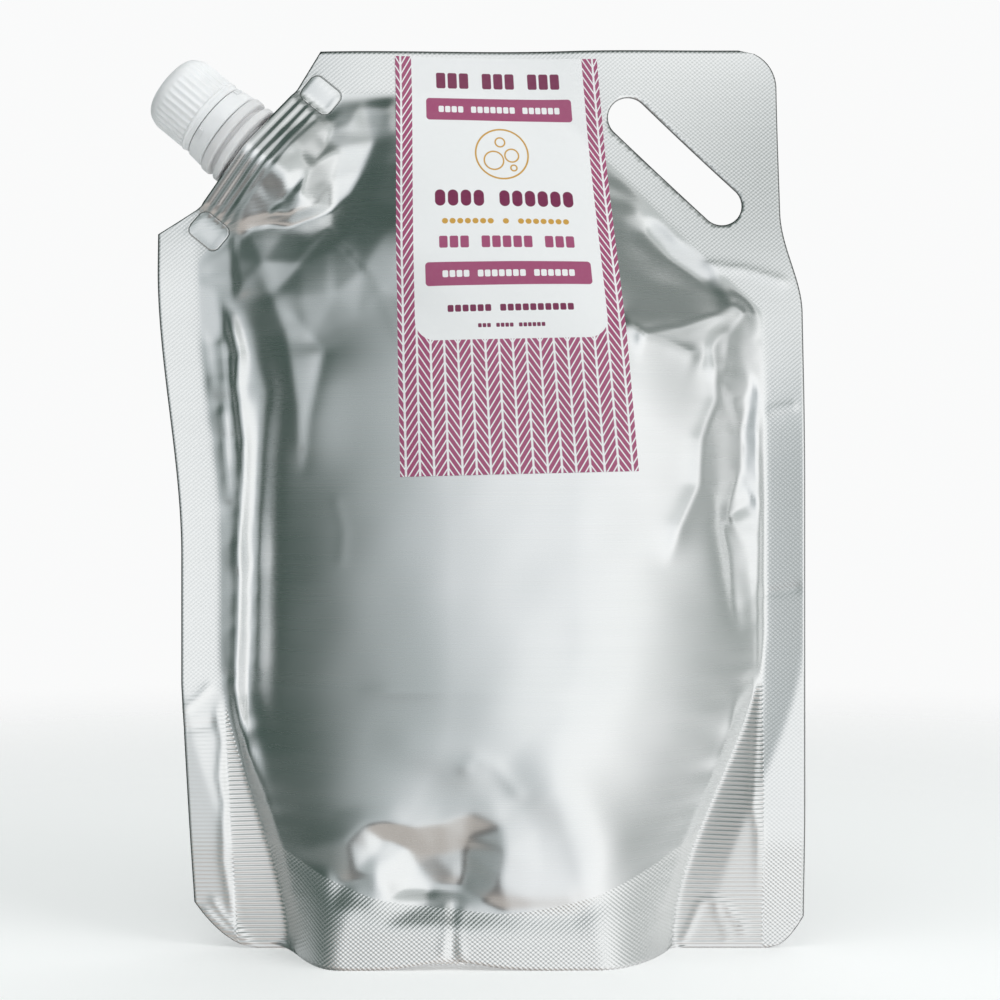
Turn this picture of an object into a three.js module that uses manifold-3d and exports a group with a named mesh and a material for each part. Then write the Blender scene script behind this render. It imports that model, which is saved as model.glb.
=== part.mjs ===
// A one-litre hand soap refill pack: a filled and sealed foil stand-up pouch with a carrying slot
// in one top corner and, in the other, a moulded spout with a tamper band, a cap liner and a cap.
// Millimetres, +Z up. The printed front faces -Y. The pack stands on its gusset at Z = 0, and X = 0
// is the middle between the side seals.
import * as THREE from "three";
import { mergeVertices } from "three/addons/utils/BufferGeometryUtils.js";
import Module from "manifold-3d";

const wasm = await Module();
wasm.setup();

// Pouch outline
const POUCH_WIDTH = 180.6;
const POUCH_HEIGHT = 251;
const TOP_RISE = { by: 3.6, fromX: -45, overX: 120.3, fromZ: 190 }; // the top edge climbs to the right
const SIDE_SEAL = 11;
const FOOT_WELD = {
  left: { extra: 15, height: 80 },
  right: { extra: 26, height: 90 },
}; // the side seals widen towards the floor
const TOP_SEAL = 12;
const FILM_PAIR = 0.6; // two plies welded together
const TOP_CORNER = 11; // radius of the handle corner
const LEFT_FOOT = { width: 17, height: 13 }; // the turned-under corner below the spout side
const RIGHT_FOOT = { width: 10, height: 9 };
const LEFT_TAPER = { by: 4.2, height: 74 }; // the spout side's edge slants in above that corner
const LEFT_DRAW_IN = { by: 6.6, from: 110, over: 80 }; // the filled bag pulls the spout side's seal inwards
const HANDLE_DRAW_IN = { by: 5.6, drop: 73, over: 28 }; // and the handle corner curls in
const LEAN_BACK = { by: 8, fromX: -48, overX: 70, fromZ: 150 }; // the empty top leans away from the front
const CORNER_CURL = { by: 6, fromX: 25, overX: 60, fromZ: 185 }; // the handle corner leans back further
// how far forward the side seals curl, below which height, and how high the curl starts to stand
const SEAL_CURL = {
  left: { by: 1.7, power: 1.2, below: 215, over: 30 },
  right: { by: 3, power: 1.1, below: 180, over: 50 },
  standing: 40,
};

// Fill: half the bag's depth at three heights
const FOOT_DEPTH = 25.5;
const BELLY_DEPTH = 25.5;
const SHOULDER_DEPTH = 19.5;
const BELLY_HEIGHT = 66;
const SHOULDER_HEIGHT = 158;
const SIDE_REACH = { left: 58, right: 54 }; // how far in from a seal the bag is fully swollen
const FOOT_REACH = { left: 16, right: 22 }; // the same at the floor
// film that lies flat between the left weld and the bag, and opens and closes over these heights
const LEFT_STRIP = { width: 7, from: 46, opens: 30, to: 192, closes: 26 };
const TOP_REACH = 72;
const CORNER_REACH = 46; // in from the two slanted corner seals
const FOLD_START = 5; // folds reach their full height this far in from a weld
const STRIP_LOOSE = 1; // the left strip's film is loose from a little outside its weld
const FOLDS_DRAWN_AT = { width: 180.6, height: 251 }; // the pouch size that the folds' places belong to

// Gusset underneath
const SKIRT_EDGE = 0.97; // share of the footprint left inside the skirt's edge
const GUSSET_RISE = 5; // the sealed gusset stands this high between skirt and pad
const GUSSET_RING = 0.88;
const GUSSET_OPEN = 14; // half the depth at which it has risen fully
const PAD_SHARE = 0.76; // the middle of the gusset that the soap presses flat
const SKIRT_PINCH = { lift: 2.5, x: -8, width: 12, height: 25 }; // the skirt's edge lifts at its middle

// Carrying slot, through the welded handle corner
const SLOT_LENGTH = 48;
const SLOT_WIDTH = 11.6;
const SLOT_ANGLE = -43.8; // degrees from +X
const SLOT_FROM_TOP = 29.5;
const SLOT_FROM_SIDE = 35.4;
const SLOT_MARGIN = 8.6; // welded film kept between the slot and the bag
const SLOT_END_STEPS = 12;

// Spout: its axis leaves the corner up and to the left
const SPOUT_TILT = 39.5; // degrees above -X
const SPOUT_EDGE = 41; // length of the slanted film edge that holds it
const SPOUT_FROM_TOP = 27.4; // middle of that edge, down from the top edge
const SPOUT_FROM_SIDE = 25.1;
const SHOULDER_RUN = 7.2; // from the slanted edge on to the top edge, across
const CHIN_DROP = 8; // from the slanted edge on to the side edge, down

const BOAT = { length: 40, halfThick: 8.6, tip: 0.9, depth: 9, round: 2.5 };
const FIT_GAP = 0.3;
const PLY = 0.8; // film over the boat
const SLEEVE_TAIL = 12; // below the boat the film closes up over this length
const SLEEVE_END = 0.35; // to this share of the boat's thickness
const POCKET_PROUD = 3; // the pocket's cutter stands this far out of the film's edge
const LENS_STEPS = 24;

const BORE_RADIUS = 6.6;
const NECK_RADIUS = 8.6;
const NECK_ROOT = 1; // the neck starts this far inside the boat
const MOUTH_CHAMFER = 0.4;
const COLLAR_RADIUS = 12.45;
const GROOVE_RADIUS = 10.6;
const LOWER_COLLAR = { from: 0.6, to: 2.8 };
const UPPER_COLLAR = { from: 4.2, to: 6.9 };
const COLLAR_ROUND = 0.6;
const BEAD = { radius: 9.2, height: 1.2 };
const CAP_GAP = 0.3; // between stacked pieces

const BAND_HEIGHT = 4.9;
const BAND_RADIUS = 11.95;
const BAND_TAPER = 0.45;
const BAND_WALL = 1.6;
const TAB = { width: 3.2, height: 1.4, proud: 0.35, fromTop: 0.3, turn: 60 };
const TABS = 4;

const CAP_HEIGHT = 16;
const CAP_RADIUS = 10.9;
const CAP_WALL = 1.5;
const CAP_TOP = 1.5;
const CAP_DOME = 4.2; // rounding of the cap's top edge
const RIM_HEIGHT = 2.4; // plain edge and raised ring round the cap's mouth
const RIM = { edge: 0.25, ring: 0.5, edgeHeight: 1.2, slope: 0.25 };
const RIBS = 36;
const RIB = { width: 0.9, proud: 0.35, fromTop: 4.2, sunk: 0.1 };
const TOOTH_ROOT = 1; // teeth reach this far into the wall that carries them
const DOME_STEPS = 6;
const LINER_THICK = 1;
const LINER_PLAY = 0.4; // between the liner's edge and the cap's wall

// Label, flat on the front film
const LABEL_THICK = 0.3;
const LABEL_GAP = 0.35;
const LABEL = {
  topLeft: -24.2,
  topRight: 32.8,
  bottomLeft: -21.5,
  bottomRight: 42.7,
  height: 118.6,
  fromTop: 0.8,
  topClimb: 0.6,
  bottomClimb: 1.6,
};

const ACROSS = 34; // cells across the pouch's faces
const CROWDING = 0.06; // how much the cells crowd towards the seals
const LATHE_SIDES = 48;

const clamp = (t) => Math.min(1, Math.max(0, t));
const ramp = (t) => clamp(t) ** 2 * (3 - 2 * clamp(t));
const mix = (a, b, t) => a + (b - a) * t;
const rad = THREE.MathUtils.degToRad;

// The spout's own directions: out along its axis, and along the slanted film edge
const OUT = new THREE.Vector3(-Math.cos(rad(SPOUT_TILT)), 0, Math.sin(rad(SPOUT_TILT)));
const ALONG = new THREE.Vector3(Math.sin(rad(SPOUT_TILT)), 0, Math.cos(rad(SPOUT_TILT)));
const SPOUT_FOOT = new THREE.Vector3(
  -POUCH_WIDTH / 2 + SPOUT_FROM_SIDE,
  0,
  POUCH_HEIGHT - SPOUT_FROM_TOP,
);

// Distance out of the pouch and along the slanted edge, from the middle of that edge
function spoutPlace(x, z) {
  const dx = x - SPOUT_FOOT.x;
  const dz = z - SPOUT_FOOT.z;
  return { out: dx * OUT.x + dz * OUT.z, along: dx * ALONG.x + dz * ALONG.z };
}

const EDGE_TOP = SPOUT_FOOT.clone().addScaledVector(ALONG, SPOUT_EDGE / 2);
const EDGE_LOW = SPOUT_FOOT.clone().addScaledVector(ALONG, -SPOUT_EDGE / 2);
const CHIN_Z = EDGE_LOW.z - CHIN_DROP;
const SLOT_CENTRE = {
  x: POUCH_WIDTH / 2 - SLOT_FROM_SIDE,
  z: POUCH_HEIGHT - SLOT_FROM_TOP,
};

// How far the spout side's edge stands in from the full width, apart from its turned-under corner
function leftPull(z) {
  const drawn = LEFT_DRAW_IN.by * (1 - ramp((z - LEFT_DRAW_IN.from) / LEFT_DRAW_IN.over));
  return drawn + LEFT_TAPER.by * (1 - clamp(z / LEFT_TAPER.height));
}

// The film's left edge at a height, from the turned-under foot to the spout's shoulder
function leftEdge(z) {
  const foot = LEFT_FOOT.width * (1 - Math.sqrt(clamp(z / LEFT_FOOT.height)));
  const side = -POUCH_WIDTH / 2;
  if (z <= CHIN_Z) return side + leftPull(z) + foot;
  if (z <= EDGE_LOW.z) return mix(side, EDGE_LOW.x, (z - CHIN_Z) / CHIN_DROP);
  if (z <= EDGE_TOP.z) {
    return mix(EDGE_LOW.x, EDGE_TOP.x, (z - EDGE_LOW.z) / (EDGE_TOP.z - EDGE_LOW.z));
  }
  const rise = (z - EDGE_TOP.z) / (POUCH_HEIGHT - EDGE_TOP.z);
  return EDGE_TOP.x + SHOULDER_RUN * rise;
}

// The film's right edge, with the curled handle corner and its rounded top
function rightEdge(z) {
  const curlFrom = POUCH_HEIGHT - HANDLE_DRAW_IN.drop;
  const drawn = HANDLE_DRAW_IN.by * ramp((z - curlFrom) / HANDLE_DRAW_IN.over);
  const foot = RIGHT_FOOT.width * (1 - Math.sqrt(clamp(z / RIGHT_FOOT.height)));
  const up = clamp((z - POUCH_HEIGHT + TOP_CORNER) / TOP_CORNER);
  const corner = TOP_CORNER * (1 - Math.sqrt(1 - up * up));
  return POUCH_WIDTH / 2 - drawn - foot - corner;
}

// The lines where the film's faces part from the weld
const sealAt = (z, foot) => SIDE_SEAL + foot.extra * (1 - ramp(z / foot.height));
const bagLeft = (z) => -POUCH_WIDTH / 2 + leftPull(Math.min(z, CHIN_Z)) + sealAt(z, FOOT_WELD.left);
function bagRight(z) {
  const edge = rightEdge(Math.min(Math.max(z, RIGHT_FOOT.height), POUCH_HEIGHT - TOP_CORNER));
  return edge - sealAt(z, FOOT_WELD.right);
}

// How far a point lies inside the weld round the slot, measured square to the slot
function insideHandleWeld(x, z) {
  const normal = rad(SLOT_ANGLE + 90);
  const dx = x - SLOT_CENTRE.x;
  const dz = z - SLOT_CENTRE.z;
  const square = dx * Math.cos(normal) + dz * Math.sin(normal);
  return -square - SLOT_WIDTH / 2 - SLOT_MARGIN;
}

// Share of full depth at a distance in from a weld
const swell = (distance, reach) => 1 - (1 - clamp(distance / reach)) ** 2;

// Half the bag's depth at a height, with no weld near
function fullDepth(z) {
  if (z < BELLY_HEIGHT) return mix(FOOT_DEPTH, BELLY_DEPTH, Math.sin((Math.PI / 2) * z / BELLY_HEIGHT));
  return mix(BELLY_DEPTH, SHOULDER_DEPTH, ramp((z - BELLY_HEIGHT) / (SHOULDER_HEIGHT - BELLY_HEIGHT)));
}

// The width of the flat strip of film between the left weld and the filled bag
function leftStrip(z) {
  const { width, from, opens, to, closes } = LEFT_STRIP;
  return width * ramp((z - from) / opens) * ramp((to - z) / closes);
}

function bagDepth(x, z) {
  const reachAt = (side) => mix(FOOT_REACH[side], SIDE_REACH[side], ramp(z / BELLY_HEIGHT));
  return (
    fullDepth(z) *
    swell(x - bagLeft(z) - leftStrip(z), reachAt("left")) *
    swell(bagRight(z) - x, reachAt("right")) *
    swell(POUCH_HEIGHT - TOP_SEAL - z, TOP_REACH) *
    swell(insideHandleWeld(x, z), CORNER_REACH) *
    swell(-spoutPlace(x, z).out - BOAT.depth, CORNER_REACH)
  );
}

// Half the moulded boat's thickness, a lens with a rounded middle and blunt tips
function boatHalf(along) {
  const bend = Math.hypot(along, BOAT.round) - BOAT.round;
  const whole = Math.hypot(BOAT.length / 2, BOAT.round) - BOAT.round;
  return mix(BOAT.halfThick, BOAT.tip, clamp(bend / whole));
}

// Folds of the filled film: each runs along its points, stands out by its height and fades over its
// width. A negative height is a valley. Places are x and z on the face.
const FRONT_FOLDS = [
  { name: "hollow under the spout", height: -8, width: 15, at: [[-49, 196], [-38, 207]] },
  { name: "dent beside the hollow", height: -5, width: 10, at: [[-30, 214], [-22, 190]] },
  { name: "lip of the hollow", height: 4.5, width: 5, at: [[-62, 201], [-50, 206], [-44, 214]] },
  { name: "crease from the chin", height: 1.3, width: 9, at: [[-68, 196], [-48, 155], [-46, 128]] },
  { name: "pleat by the left strip", height: 2.6, width: 3, at: [[-73, 182], [-67, 160], [-66, 62]] },
  { name: "furrow inside that pleat", height: -2.6, width: 4, at: [[-63, 172], [-61, 140], [-62, 80]] },
  { name: "crown down the middle", height: 1.7, width: 30, at: [[8, 60], [8, 180]] },
  { name: "left crumple", height: 4, width: 5, at: [[-50, 26], [-36, 23], [-29, 32], [-15, 27], [2, 42]] },
  { name: "hollow under the crumple", height: -6, width: 8, at: [[-30, 17], [-2, 24]] },
  { name: "dent right of the crumple", height: -4, width: 9, at: [[6, 30], [4, 12]] },
  { name: "skirt's top", height: -1.6, width: 4, at: [[-58, 25], [-30, 15], [-8, 11], [25, 14], [56, 25]] },
  { name: "pinch in the skirt", height: -5, width: 4, at: [[-8, -5], [-8, 17]] },
  { name: "fold below the slot", height: -4, width: 7, at: [[48, 196], [66, 188]] },
  { name: "crease down the right", height: 4, width: 5, at: [[70, 178], [64, 158], [56, 130], [50, 108]] },
  { name: "furrow at the right seal", height: -3.5, width: 5, at: [[72, 140], [66, 116], [69, 92]] },
];
const BACK_FOLDS = [
  { name: "hollow behind the spout", height: -6, width: 14, at: [[-48, 200], [-34, 210]] },
  { name: "long sag below it", height: -4, width: 9, at: [[-52, 172], [-30, 140]] },
  { name: "pleat at the left seal", height: 3, width: 4, at: [[-75, 160], [-72, 80]] },
  { name: "crease down the right side", height: 4, width: 6, at: [[66, 172], [56, 130], [60, 96]] },
  { name: "top of the skirt", height: -3, width: 4, at: [[-58, 25], [-28, 14], [25, 13], [56, 25]] },
  { name: "skirt crumple", height: -5, width: 6, at: [[12, -5], [15, 22]] },
  { name: "low dent", height: -4, width: 9, at: [[-34, 30], [-14, 24]] },
];

function distanceToRun(x, z, points) {
  let nearest = Infinity;
  for (let i = 1; i < points.length; i++) {
    const [ax, az] = points[i - 1];
    const [bx, bz] = points[i];
    const length2 = (bx - ax) ** 2 + (bz - az) ** 2;
    const t = clamp(((x - ax) * (bx - ax) + (z - az) * (bz - az)) / length2);
    nearest = Math.min(nearest, Math.hypot(x - mix(ax, bx, t), z - mix(az, bz, t)));
  }
  return nearest;
}

function foldHeight(x, z, folds) {
  const wide = POUCH_WIDTH / FOLDS_DRAWN_AT.width;
  const tall = POUCH_HEIGHT / FOLDS_DRAWN_AT.height;
  return folds.reduce((sum, fold) => {
    const run = fold.at.map(([px, pz]) => [px * wide, pz * tall]);
    return sum + fold.height * Math.exp(-((distanceToRun(x, z, run) / fold.width) ** 2));
  }, 0);
}

// How far a point lies inside the nearest weld, with a little of the left strip loose as well
function insideWelds(x, z) {
  return Math.min(
    x - bagLeft(z) + STRIP_LOOSE,
    bagRight(z) - x,
    POUCH_HEIGHT - TOP_SEAL - z,
    insideHandleWeld(x, z),
    -spoutPlace(x, z).out - BOAT.depth,
  );
}

// Depth of one face in front of, or behind, the pouch's middle surface
function faceDepth(x, z, folds) {
  const loose = ramp(insideWelds(x, z) / FOLD_START);
  const filled = Math.max(0, bagDepth(x, z) + loose * foldHeight(x, z, folds));
  return FILM_PAIR / 2 + filled;
}

// The middle surface: its side seals curl forward, and the empty top leans back away from the spout
function middle(x, z) {
  const bend = ({ by, fromX, overX, fromZ }) =>
    by * ramp((x - fromX) / overX) * ramp((z - fromZ) / (POUCH_HEIGHT - fromZ));
  const curl = (outside, { by, power, below, over }) =>
    by * clamp(outside / SIDE_SEAL) ** power * ramp((below - z) / over);
  const seals = curl(bagLeft(z) - x, SEAL_CURL.left) + curl(x - bagRight(z), SEAL_CURL.right);
  return bend(LEAN_BACK) + bend(CORNER_CURL) - seals * ramp(z / SEAL_CURL.standing);
}

const frontAt = (x, z) => middle(x, z) - faceDepth(x, z, FRONT_FOLDS);
const backAt = (x, z) => middle(x, z) + faceDepth(x, z, BACK_FOLDS);

// Rows of the grid stop at every corner of the outline; columns crowd towards the seals
const STRETCHES = [
  { to: SKIRT_PINCH.height, cells: 7 },
  { to: CHIN_Z, cells: 24 },
  { to: EDGE_LOW.z, cells: 2 },
  { to: EDGE_TOP.z, cells: 7 },
  { to: POUCH_HEIGHT, cells: 4 },
];
const ROWS = [0];
for (const { to, cells } of STRETCHES) {
  const from = ROWS[ROWS.length - 1];
  for (let k = 1; k <= cells; k++) ROWS.push(mix(from, to, k / cells));
}
const UP = ROWS.length - 1;
const columnAt = (i) => {
  const t = i / ACROSS;
  return t - CROWDING * Math.sin(2 * Math.PI * t);
};

// Where a grid point really stands: the top edge climbs, and the skirt's edge lifts at its pinch
function heightAt(x, row) {
  const { by, fromX, overX, fromZ } = TOP_RISE;
  const climb = ((by * (x - fromX)) / overX) * ramp((row - fromZ) / (POUCH_HEIGHT - fromZ));
  const pinch = Math.exp(-(((x - SKIRT_PINCH.x) / SKIRT_PINCH.width) ** 2));
  return row + climb + SKIRT_PINCH.lift * pinch * (1 - clamp(row / SKIRT_PINCH.height));
}

// Turns a list of corner places and a list of triangles into a closed geometry
function solidGeometry(places, triangles) {
  const geometry = new THREE.BufferGeometry();
  geometry.setAttribute("position", new THREE.Float32BufferAttribute(places.flat(), 3));
  geometry.setIndex(triangles.flat());
  return geometry;
}

function toManifold(geometry) {
  const bare = geometry.clone();
  bare.deleteAttribute("normal");
  bare.deleteAttribute("uv");
  const merged = mergeVertices(bare, 1e-3);
  const vertProperties = merged.attributes.position.array;
  const triVerts = new Uint32Array(merged.index.array);
  return new wasm.Manifold(new wasm.Mesh({ numProp: 3, vertProperties, triVerts }));
}

function toGeometry(solid) {
  const { numProp, vertProperties, triVerts, numVert } = solid.getMesh();
  const places = new Float32Array(numVert * 3);
  for (let i = 0; i < numVert; i++) {
    places.set(vertProperties.subarray(i * numProp, i * numProp + 3), i * 3);
  }
  const geometry = new THREE.BufferGeometry();
  geometry.setAttribute("position", new THREE.BufferAttribute(places, 3));
  geometry.setIndex(new THREE.BufferAttribute(triVerts, 1));
  return geometry;
}

// A pair of faces over the grid, closed round the sides and along the top but open under its first row
function doubleFace(frontPlace, backPlace) {
  const places = [];
  const triangles = [];
  const index = [[], []];
  [frontPlace, backPlace].forEach((place, face) => {
    for (let j = 0; j <= UP; j++) {
      for (let i = 0; i <= ACROSS; i++) {
        index[face].push(places.length);
        places.push(place(i, j));
      }
    }
  });
  const at = (face, i, j) => index[face][j * (ACROSS + 1) + i];
  const quad = (a, b, c, d) => triangles.push([a, b, c], [a, c, d]);
  for (let j = 0; j < UP; j++) {
    for (let i = 0; i < ACROSS; i++) {
      quad(at(0, i, j), at(0, i + 1, j), at(0, i + 1, j + 1), at(0, i, j + 1));
      quad(at(1, i, j), at(1, i, j + 1), at(1, i + 1, j + 1), at(1, i + 1, j));
    }
    quad(at(1, 0, j), at(0, 0, j), at(0, 0, j + 1), at(1, 0, j + 1));
    quad(at(0, ACROSS, j), at(1, ACROSS, j), at(1, ACROSS, j + 1), at(0, ACROSS, j + 1));
  }
  for (let i = 0; i < ACROSS; i++) {
    quad(at(0, i, UP), at(0, i + 1, UP), at(1, i + 1, UP), at(1, i, UP));
  }
  return { places, triangles, at };
}

// The gusset: from the skirt's edge up to its weld, and down again to the pad on the floor
function gusset({ places, triangles, at }) {
  let ring = [];
  for (let i = 0; i <= ACROSS; i++) ring.push(at(0, i, 0));
  for (let i = ACROSS; i >= 0; i--) ring.push(at(1, i, 0));
  const foot = ring.map((n) => places[n]);
  const centreX = (foot[0][0] + foot[ACROSS][0]) / 2;
  const steps = [
    { share: SKIRT_EDGE, lift: 0, pinched: 1 },
    { share: GUSSET_RING, lift: GUSSET_RISE, pinched: 0.3 },
    { share: PAD_SHARE, lift: 0, pinched: 0 },
  ];
  for (const { share, lift, pinched } of steps) {
    const next = foot.map(([x, y, z]) => {
      const apart = ramp(Math.abs(y) / GUSSET_OPEN); // the welded ends stay flat
      places.push([mix(centreX, x, share), y * share, z * pinched + lift * apart]);
      return places.length - 1;
    });
    ring.forEach((n, k) => {
      const m = (k + 1) % ring.length;
      triangles.push([n, next[m], ring[m]], [n, next[k], next[m]]);
    });
    ring = next;
  }
  places.push([centreX, 0, 0]);
  ring.forEach((n, k) => triangles.push([n, places.length - 1, ring[(k + 1) % ring.length]]));
}

// Places the grid's points on a face of the pouch, moved a little towards the back
const onFace = (face, move = 0) => (i, j) => {
  const row = ROWS[j];
  const x = mix(leftEdge(row), rightEdge(row), columnAt(i));
  return [x, face(x, row) + move, heightAt(x, row)];
};

function pouchSkin() {
  const skin = doubleFace(onFace(frontAt), onFace(backAt));
  gusset(skin);
  return toManifold(solidGeometry(skin.places, skin.triangles));
}

// A stadium prism through both faces of the handle corner
function slotCutter() {
  const half = SLOT_LENGTH / 2 - SLOT_WIDTH / 2;
  const r = SLOT_WIDTH / 2;
  const outline = new THREE.Shape();
  outline.moveTo(-half, -r);
  outline.lineTo(half, -r);
  outline.absarc(half, 0, r, -Math.PI / 2, Math.PI / 2, false);
  outline.lineTo(-half, r);
  outline.absarc(-half, 0, r, Math.PI / 2, (3 * Math.PI) / 2, false);
  const through = 4 * BELLY_DEPTH;
  const settings = { depth: through, bevelEnabled: false, curveSegments: SLOT_END_STEPS };
  const prism = new THREE.ExtrudeGeometry(outline, settings);
  prism.translate(0, 0, -through / 2);
  prism.rotateZ(rad(SLOT_ANGLE));
  prism.rotateX(Math.PI / 2);
  prism.translate(SLOT_CENTRE.x, 0, SLOT_CENTRE.z);
  return toManifold(prism);
}

// Shapes of the spout are drawn standing up, +Z out of the pouch, and turned into place together
function placeOnSpout(object) {
  object.rotation.y = rad(SPOUT_TILT - 90);
  object.position.copy(SPOUT_FOOT);
  return object;
}

// A closed lens-shaped solid along the spout: X runs along the film edge, Y through the thickness.
// Each level is a height with the lens's share of full thickness and an even growth all round.
function lensSolid(levels) {
  const places = [];
  const triangles = [];
  const rings = levels.map(({ z, share, grow }) => {
    const ring = [];
    const put = (k, side) => {
      const t = mix(-1, 1, k / LENS_STEPS);
      const half = boatHalf((t * BOAT.length) / 2) * share + grow;
      ring.push(places.length);
      places.push([t * (BOAT.length / 2 + grow), side * half, z]);
    };
    for (let k = 0; k <= LENS_STEPS; k++) put(k, -1);
    for (let k = LENS_STEPS; k >= 0; k--) put(k, 1);
    return ring;
  });
  rings.slice(1).forEach((upper, n) => {
    const lower = rings[n];
    lower.forEach((a, k) => {
      const next = (k + 1) % lower.length;
      triangles.push([a, lower[next], upper[next]], [a, upper[next], upper[k]]);
    });
  });
  const close = (ring, z, turn) => {
    places.push([0, 0, z]);
    const centre = places.length - 1;
    ring.forEach((a, k) => {
      const b = ring[(k + 1) % ring.length];
      triangles.push(turn ? [b, a, centre] : [a, b, centre]);
    });
  };
  close(rings[0], levels[0].z, true);
  close(rings[rings.length - 1], levels[levels.length - 1].z, false);
  return solidGeometry(places, triangles);
}

const straight = (from, to, grow) => [
  { z: from, share: 1, grow },
  { z: to, share: 1, grow },
];

function pouch() {
  const frame = placeOnSpout(new THREE.Object3D());
  frame.updateMatrix();
  const inPlace = (geometry) => toManifold(geometry.applyMatrix4(frame.matrix));
  const wrap = FIT_GAP + PLY;
  const floor = -BOAT.depth - wrap;
  const sleeve = inPlace(
    lensSolid([
      { z: floor - SLEEVE_TAIL, share: SLEEVE_END, grow: 0 },
      { z: floor, share: 1, grow: wrap },
      { z: 0, share: 1, grow: wrap },
    ]),
  );
  const pocket = inPlace(lensSolid(straight(-BOAT.depth - FIT_GAP, POCKET_PROUD, FIT_GAP)));
  return toGeometry(pouchSkin().subtract(slotCutter()).add(sleeve).subtract(pocket));
}

// The label is cut from a sheet that lies all over the front face, so that it follows every fold
function label() {
  const sheet = doubleFace(
    onFace(frontAt, -LABEL_GAP - LABEL_THICK),
    onFace(frontAt, -LABEL_GAP),
  );
  const { at, triangles } = sheet;
  for (let i = 0; i < ACROSS; i++) {
    triangles.push([at(0, i, 0), at(1, i, 0), at(1, i + 1, 0)]);
    triangles.push([at(0, i, 0), at(1, i + 1, 0), at(0, i + 1, 0)]);
  }
  const top = POUCH_HEIGHT - LABEL.fromTop;
  const outline = new THREE.Shape();
  outline.moveTo(LABEL.bottomLeft, top - LABEL.height);
  outline.lineTo(LABEL.bottomRight, top - LABEL.height + LABEL.bottomClimb);
  outline.lineTo(LABEL.topRight, top + LABEL.topClimb);
  outline.lineTo(LABEL.topLeft, top);
  const through = 4 * BELLY_DEPTH;
  const prism = new THREE.ExtrudeGeometry(outline, { depth: through, bevelEnabled: false });
  prism.translate(0, 0, -through / 2).rotateX(Math.PI / 2);
  return toGeometry(toManifold(solidGeometry(sheet.places, triangles)).intersect(toManifold(prism)));
}

// A turned ring or plug from its half section, listed anticlockwise from the axis side
function turned(points) {
  const profile = points.map(([r, z]) => new THREE.Vector2(r, z));
  const lathe = new THREE.LatheGeometry(profile, LATHE_SIDES);
  return lathe.rotateX(Math.PI / 2);
}

// Heights along the spout, from the film's edge outwards
const BAND_FROM = UPPER_COLLAR.to + CAP_GAP;
const BAND_TO = BAND_FROM + BAND_HEIGHT;
const CAP_FROM = BAND_TO + CAP_GAP;
const CAP_TO = CAP_FROM + CAP_HEIGHT;
const LINER_TO = CAP_TO - CAP_TOP - CAP_GAP;
const MOUTH = LINER_TO - LINER_THICK - CAP_GAP;
const CAP_BORE = CAP_RADIUS - CAP_WALL;

function collar({ from, to }) {
  const inner = COLLAR_RADIUS - COLLAR_ROUND;
  return [
    [inner, from],
    [COLLAR_RADIUS, from + COLLAR_ROUND],
    [COLLAR_RADIUS, to - COLLAR_ROUND],
    [inner, to],
  ];
}

function spout() {
  const beadFrom = BAND_TO - BEAD.height;
  const neck = turned([
    [0, -NECK_ROOT],
    [NECK_RADIUS, -NECK_ROOT],
    [NECK_RADIUS, LOWER_COLLAR.from],
    ...collar(LOWER_COLLAR),
    [GROOVE_RADIUS, LOWER_COLLAR.to],
    [GROOVE_RADIUS, UPPER_COLLAR.from],
    ...collar(UPPER_COLLAR),
    [NECK_RADIUS, UPPER_COLLAR.to],
    [NECK_RADIUS, beadFrom],
    [BEAD.radius, beadFrom],
    [NECK_RADIUS, BAND_TO],
    [NECK_RADIUS, MOUTH - MOUTH_CHAMFER],
    [NECK_RADIUS - MOUTH_CHAMFER, MOUTH],
    [0, MOUTH],
  ]);
  const bore = new THREE.CylinderGeometry(BORE_RADIUS, BORE_RADIUS, 4 * MOUTH, LATHE_SIDES);
  bore.rotateX(Math.PI / 2);
  const boat = toManifold(lensSolid(straight(-BOAT.depth, 0, 0)));
  return toGeometry(boat.add(toManifold(neck)).subtract(toManifold(bore)));
}

// A small raised tooth on a round wall
function tooth(width, height, radius, proud, from) {
  const depth = proud + TOOTH_ROOT;
  const box = new THREE.BoxGeometry(depth, width, height);
  return box.translate(radius + proud - depth / 2, 0, from + height / 2);
}

function band() {
  const inner = BAND_RADIUS - BAND_WALL;
  let ring = toManifold(
    turned([
      [inner, BAND_FROM],
      [BAND_RADIUS, BAND_FROM],
      [BAND_RADIUS - BAND_TAPER, BAND_TO],
      [inner, BAND_TO],
      [inner, BAND_FROM],
    ]),
  );
  for (let k = 0; k < TABS; k++) {
    const from = BAND_TO - TAB.height - TAB.fromTop;
    const tab = tooth(TAB.width, TAB.height, BAND_RADIUS - BAND_TAPER, TAB.proud, from);
    tab.rotateZ((2 * Math.PI * k) / TABS + rad(TAB.turn));
    ring = ring.add(toManifold(tab));
  }
  return toGeometry(ring);
}

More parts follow.
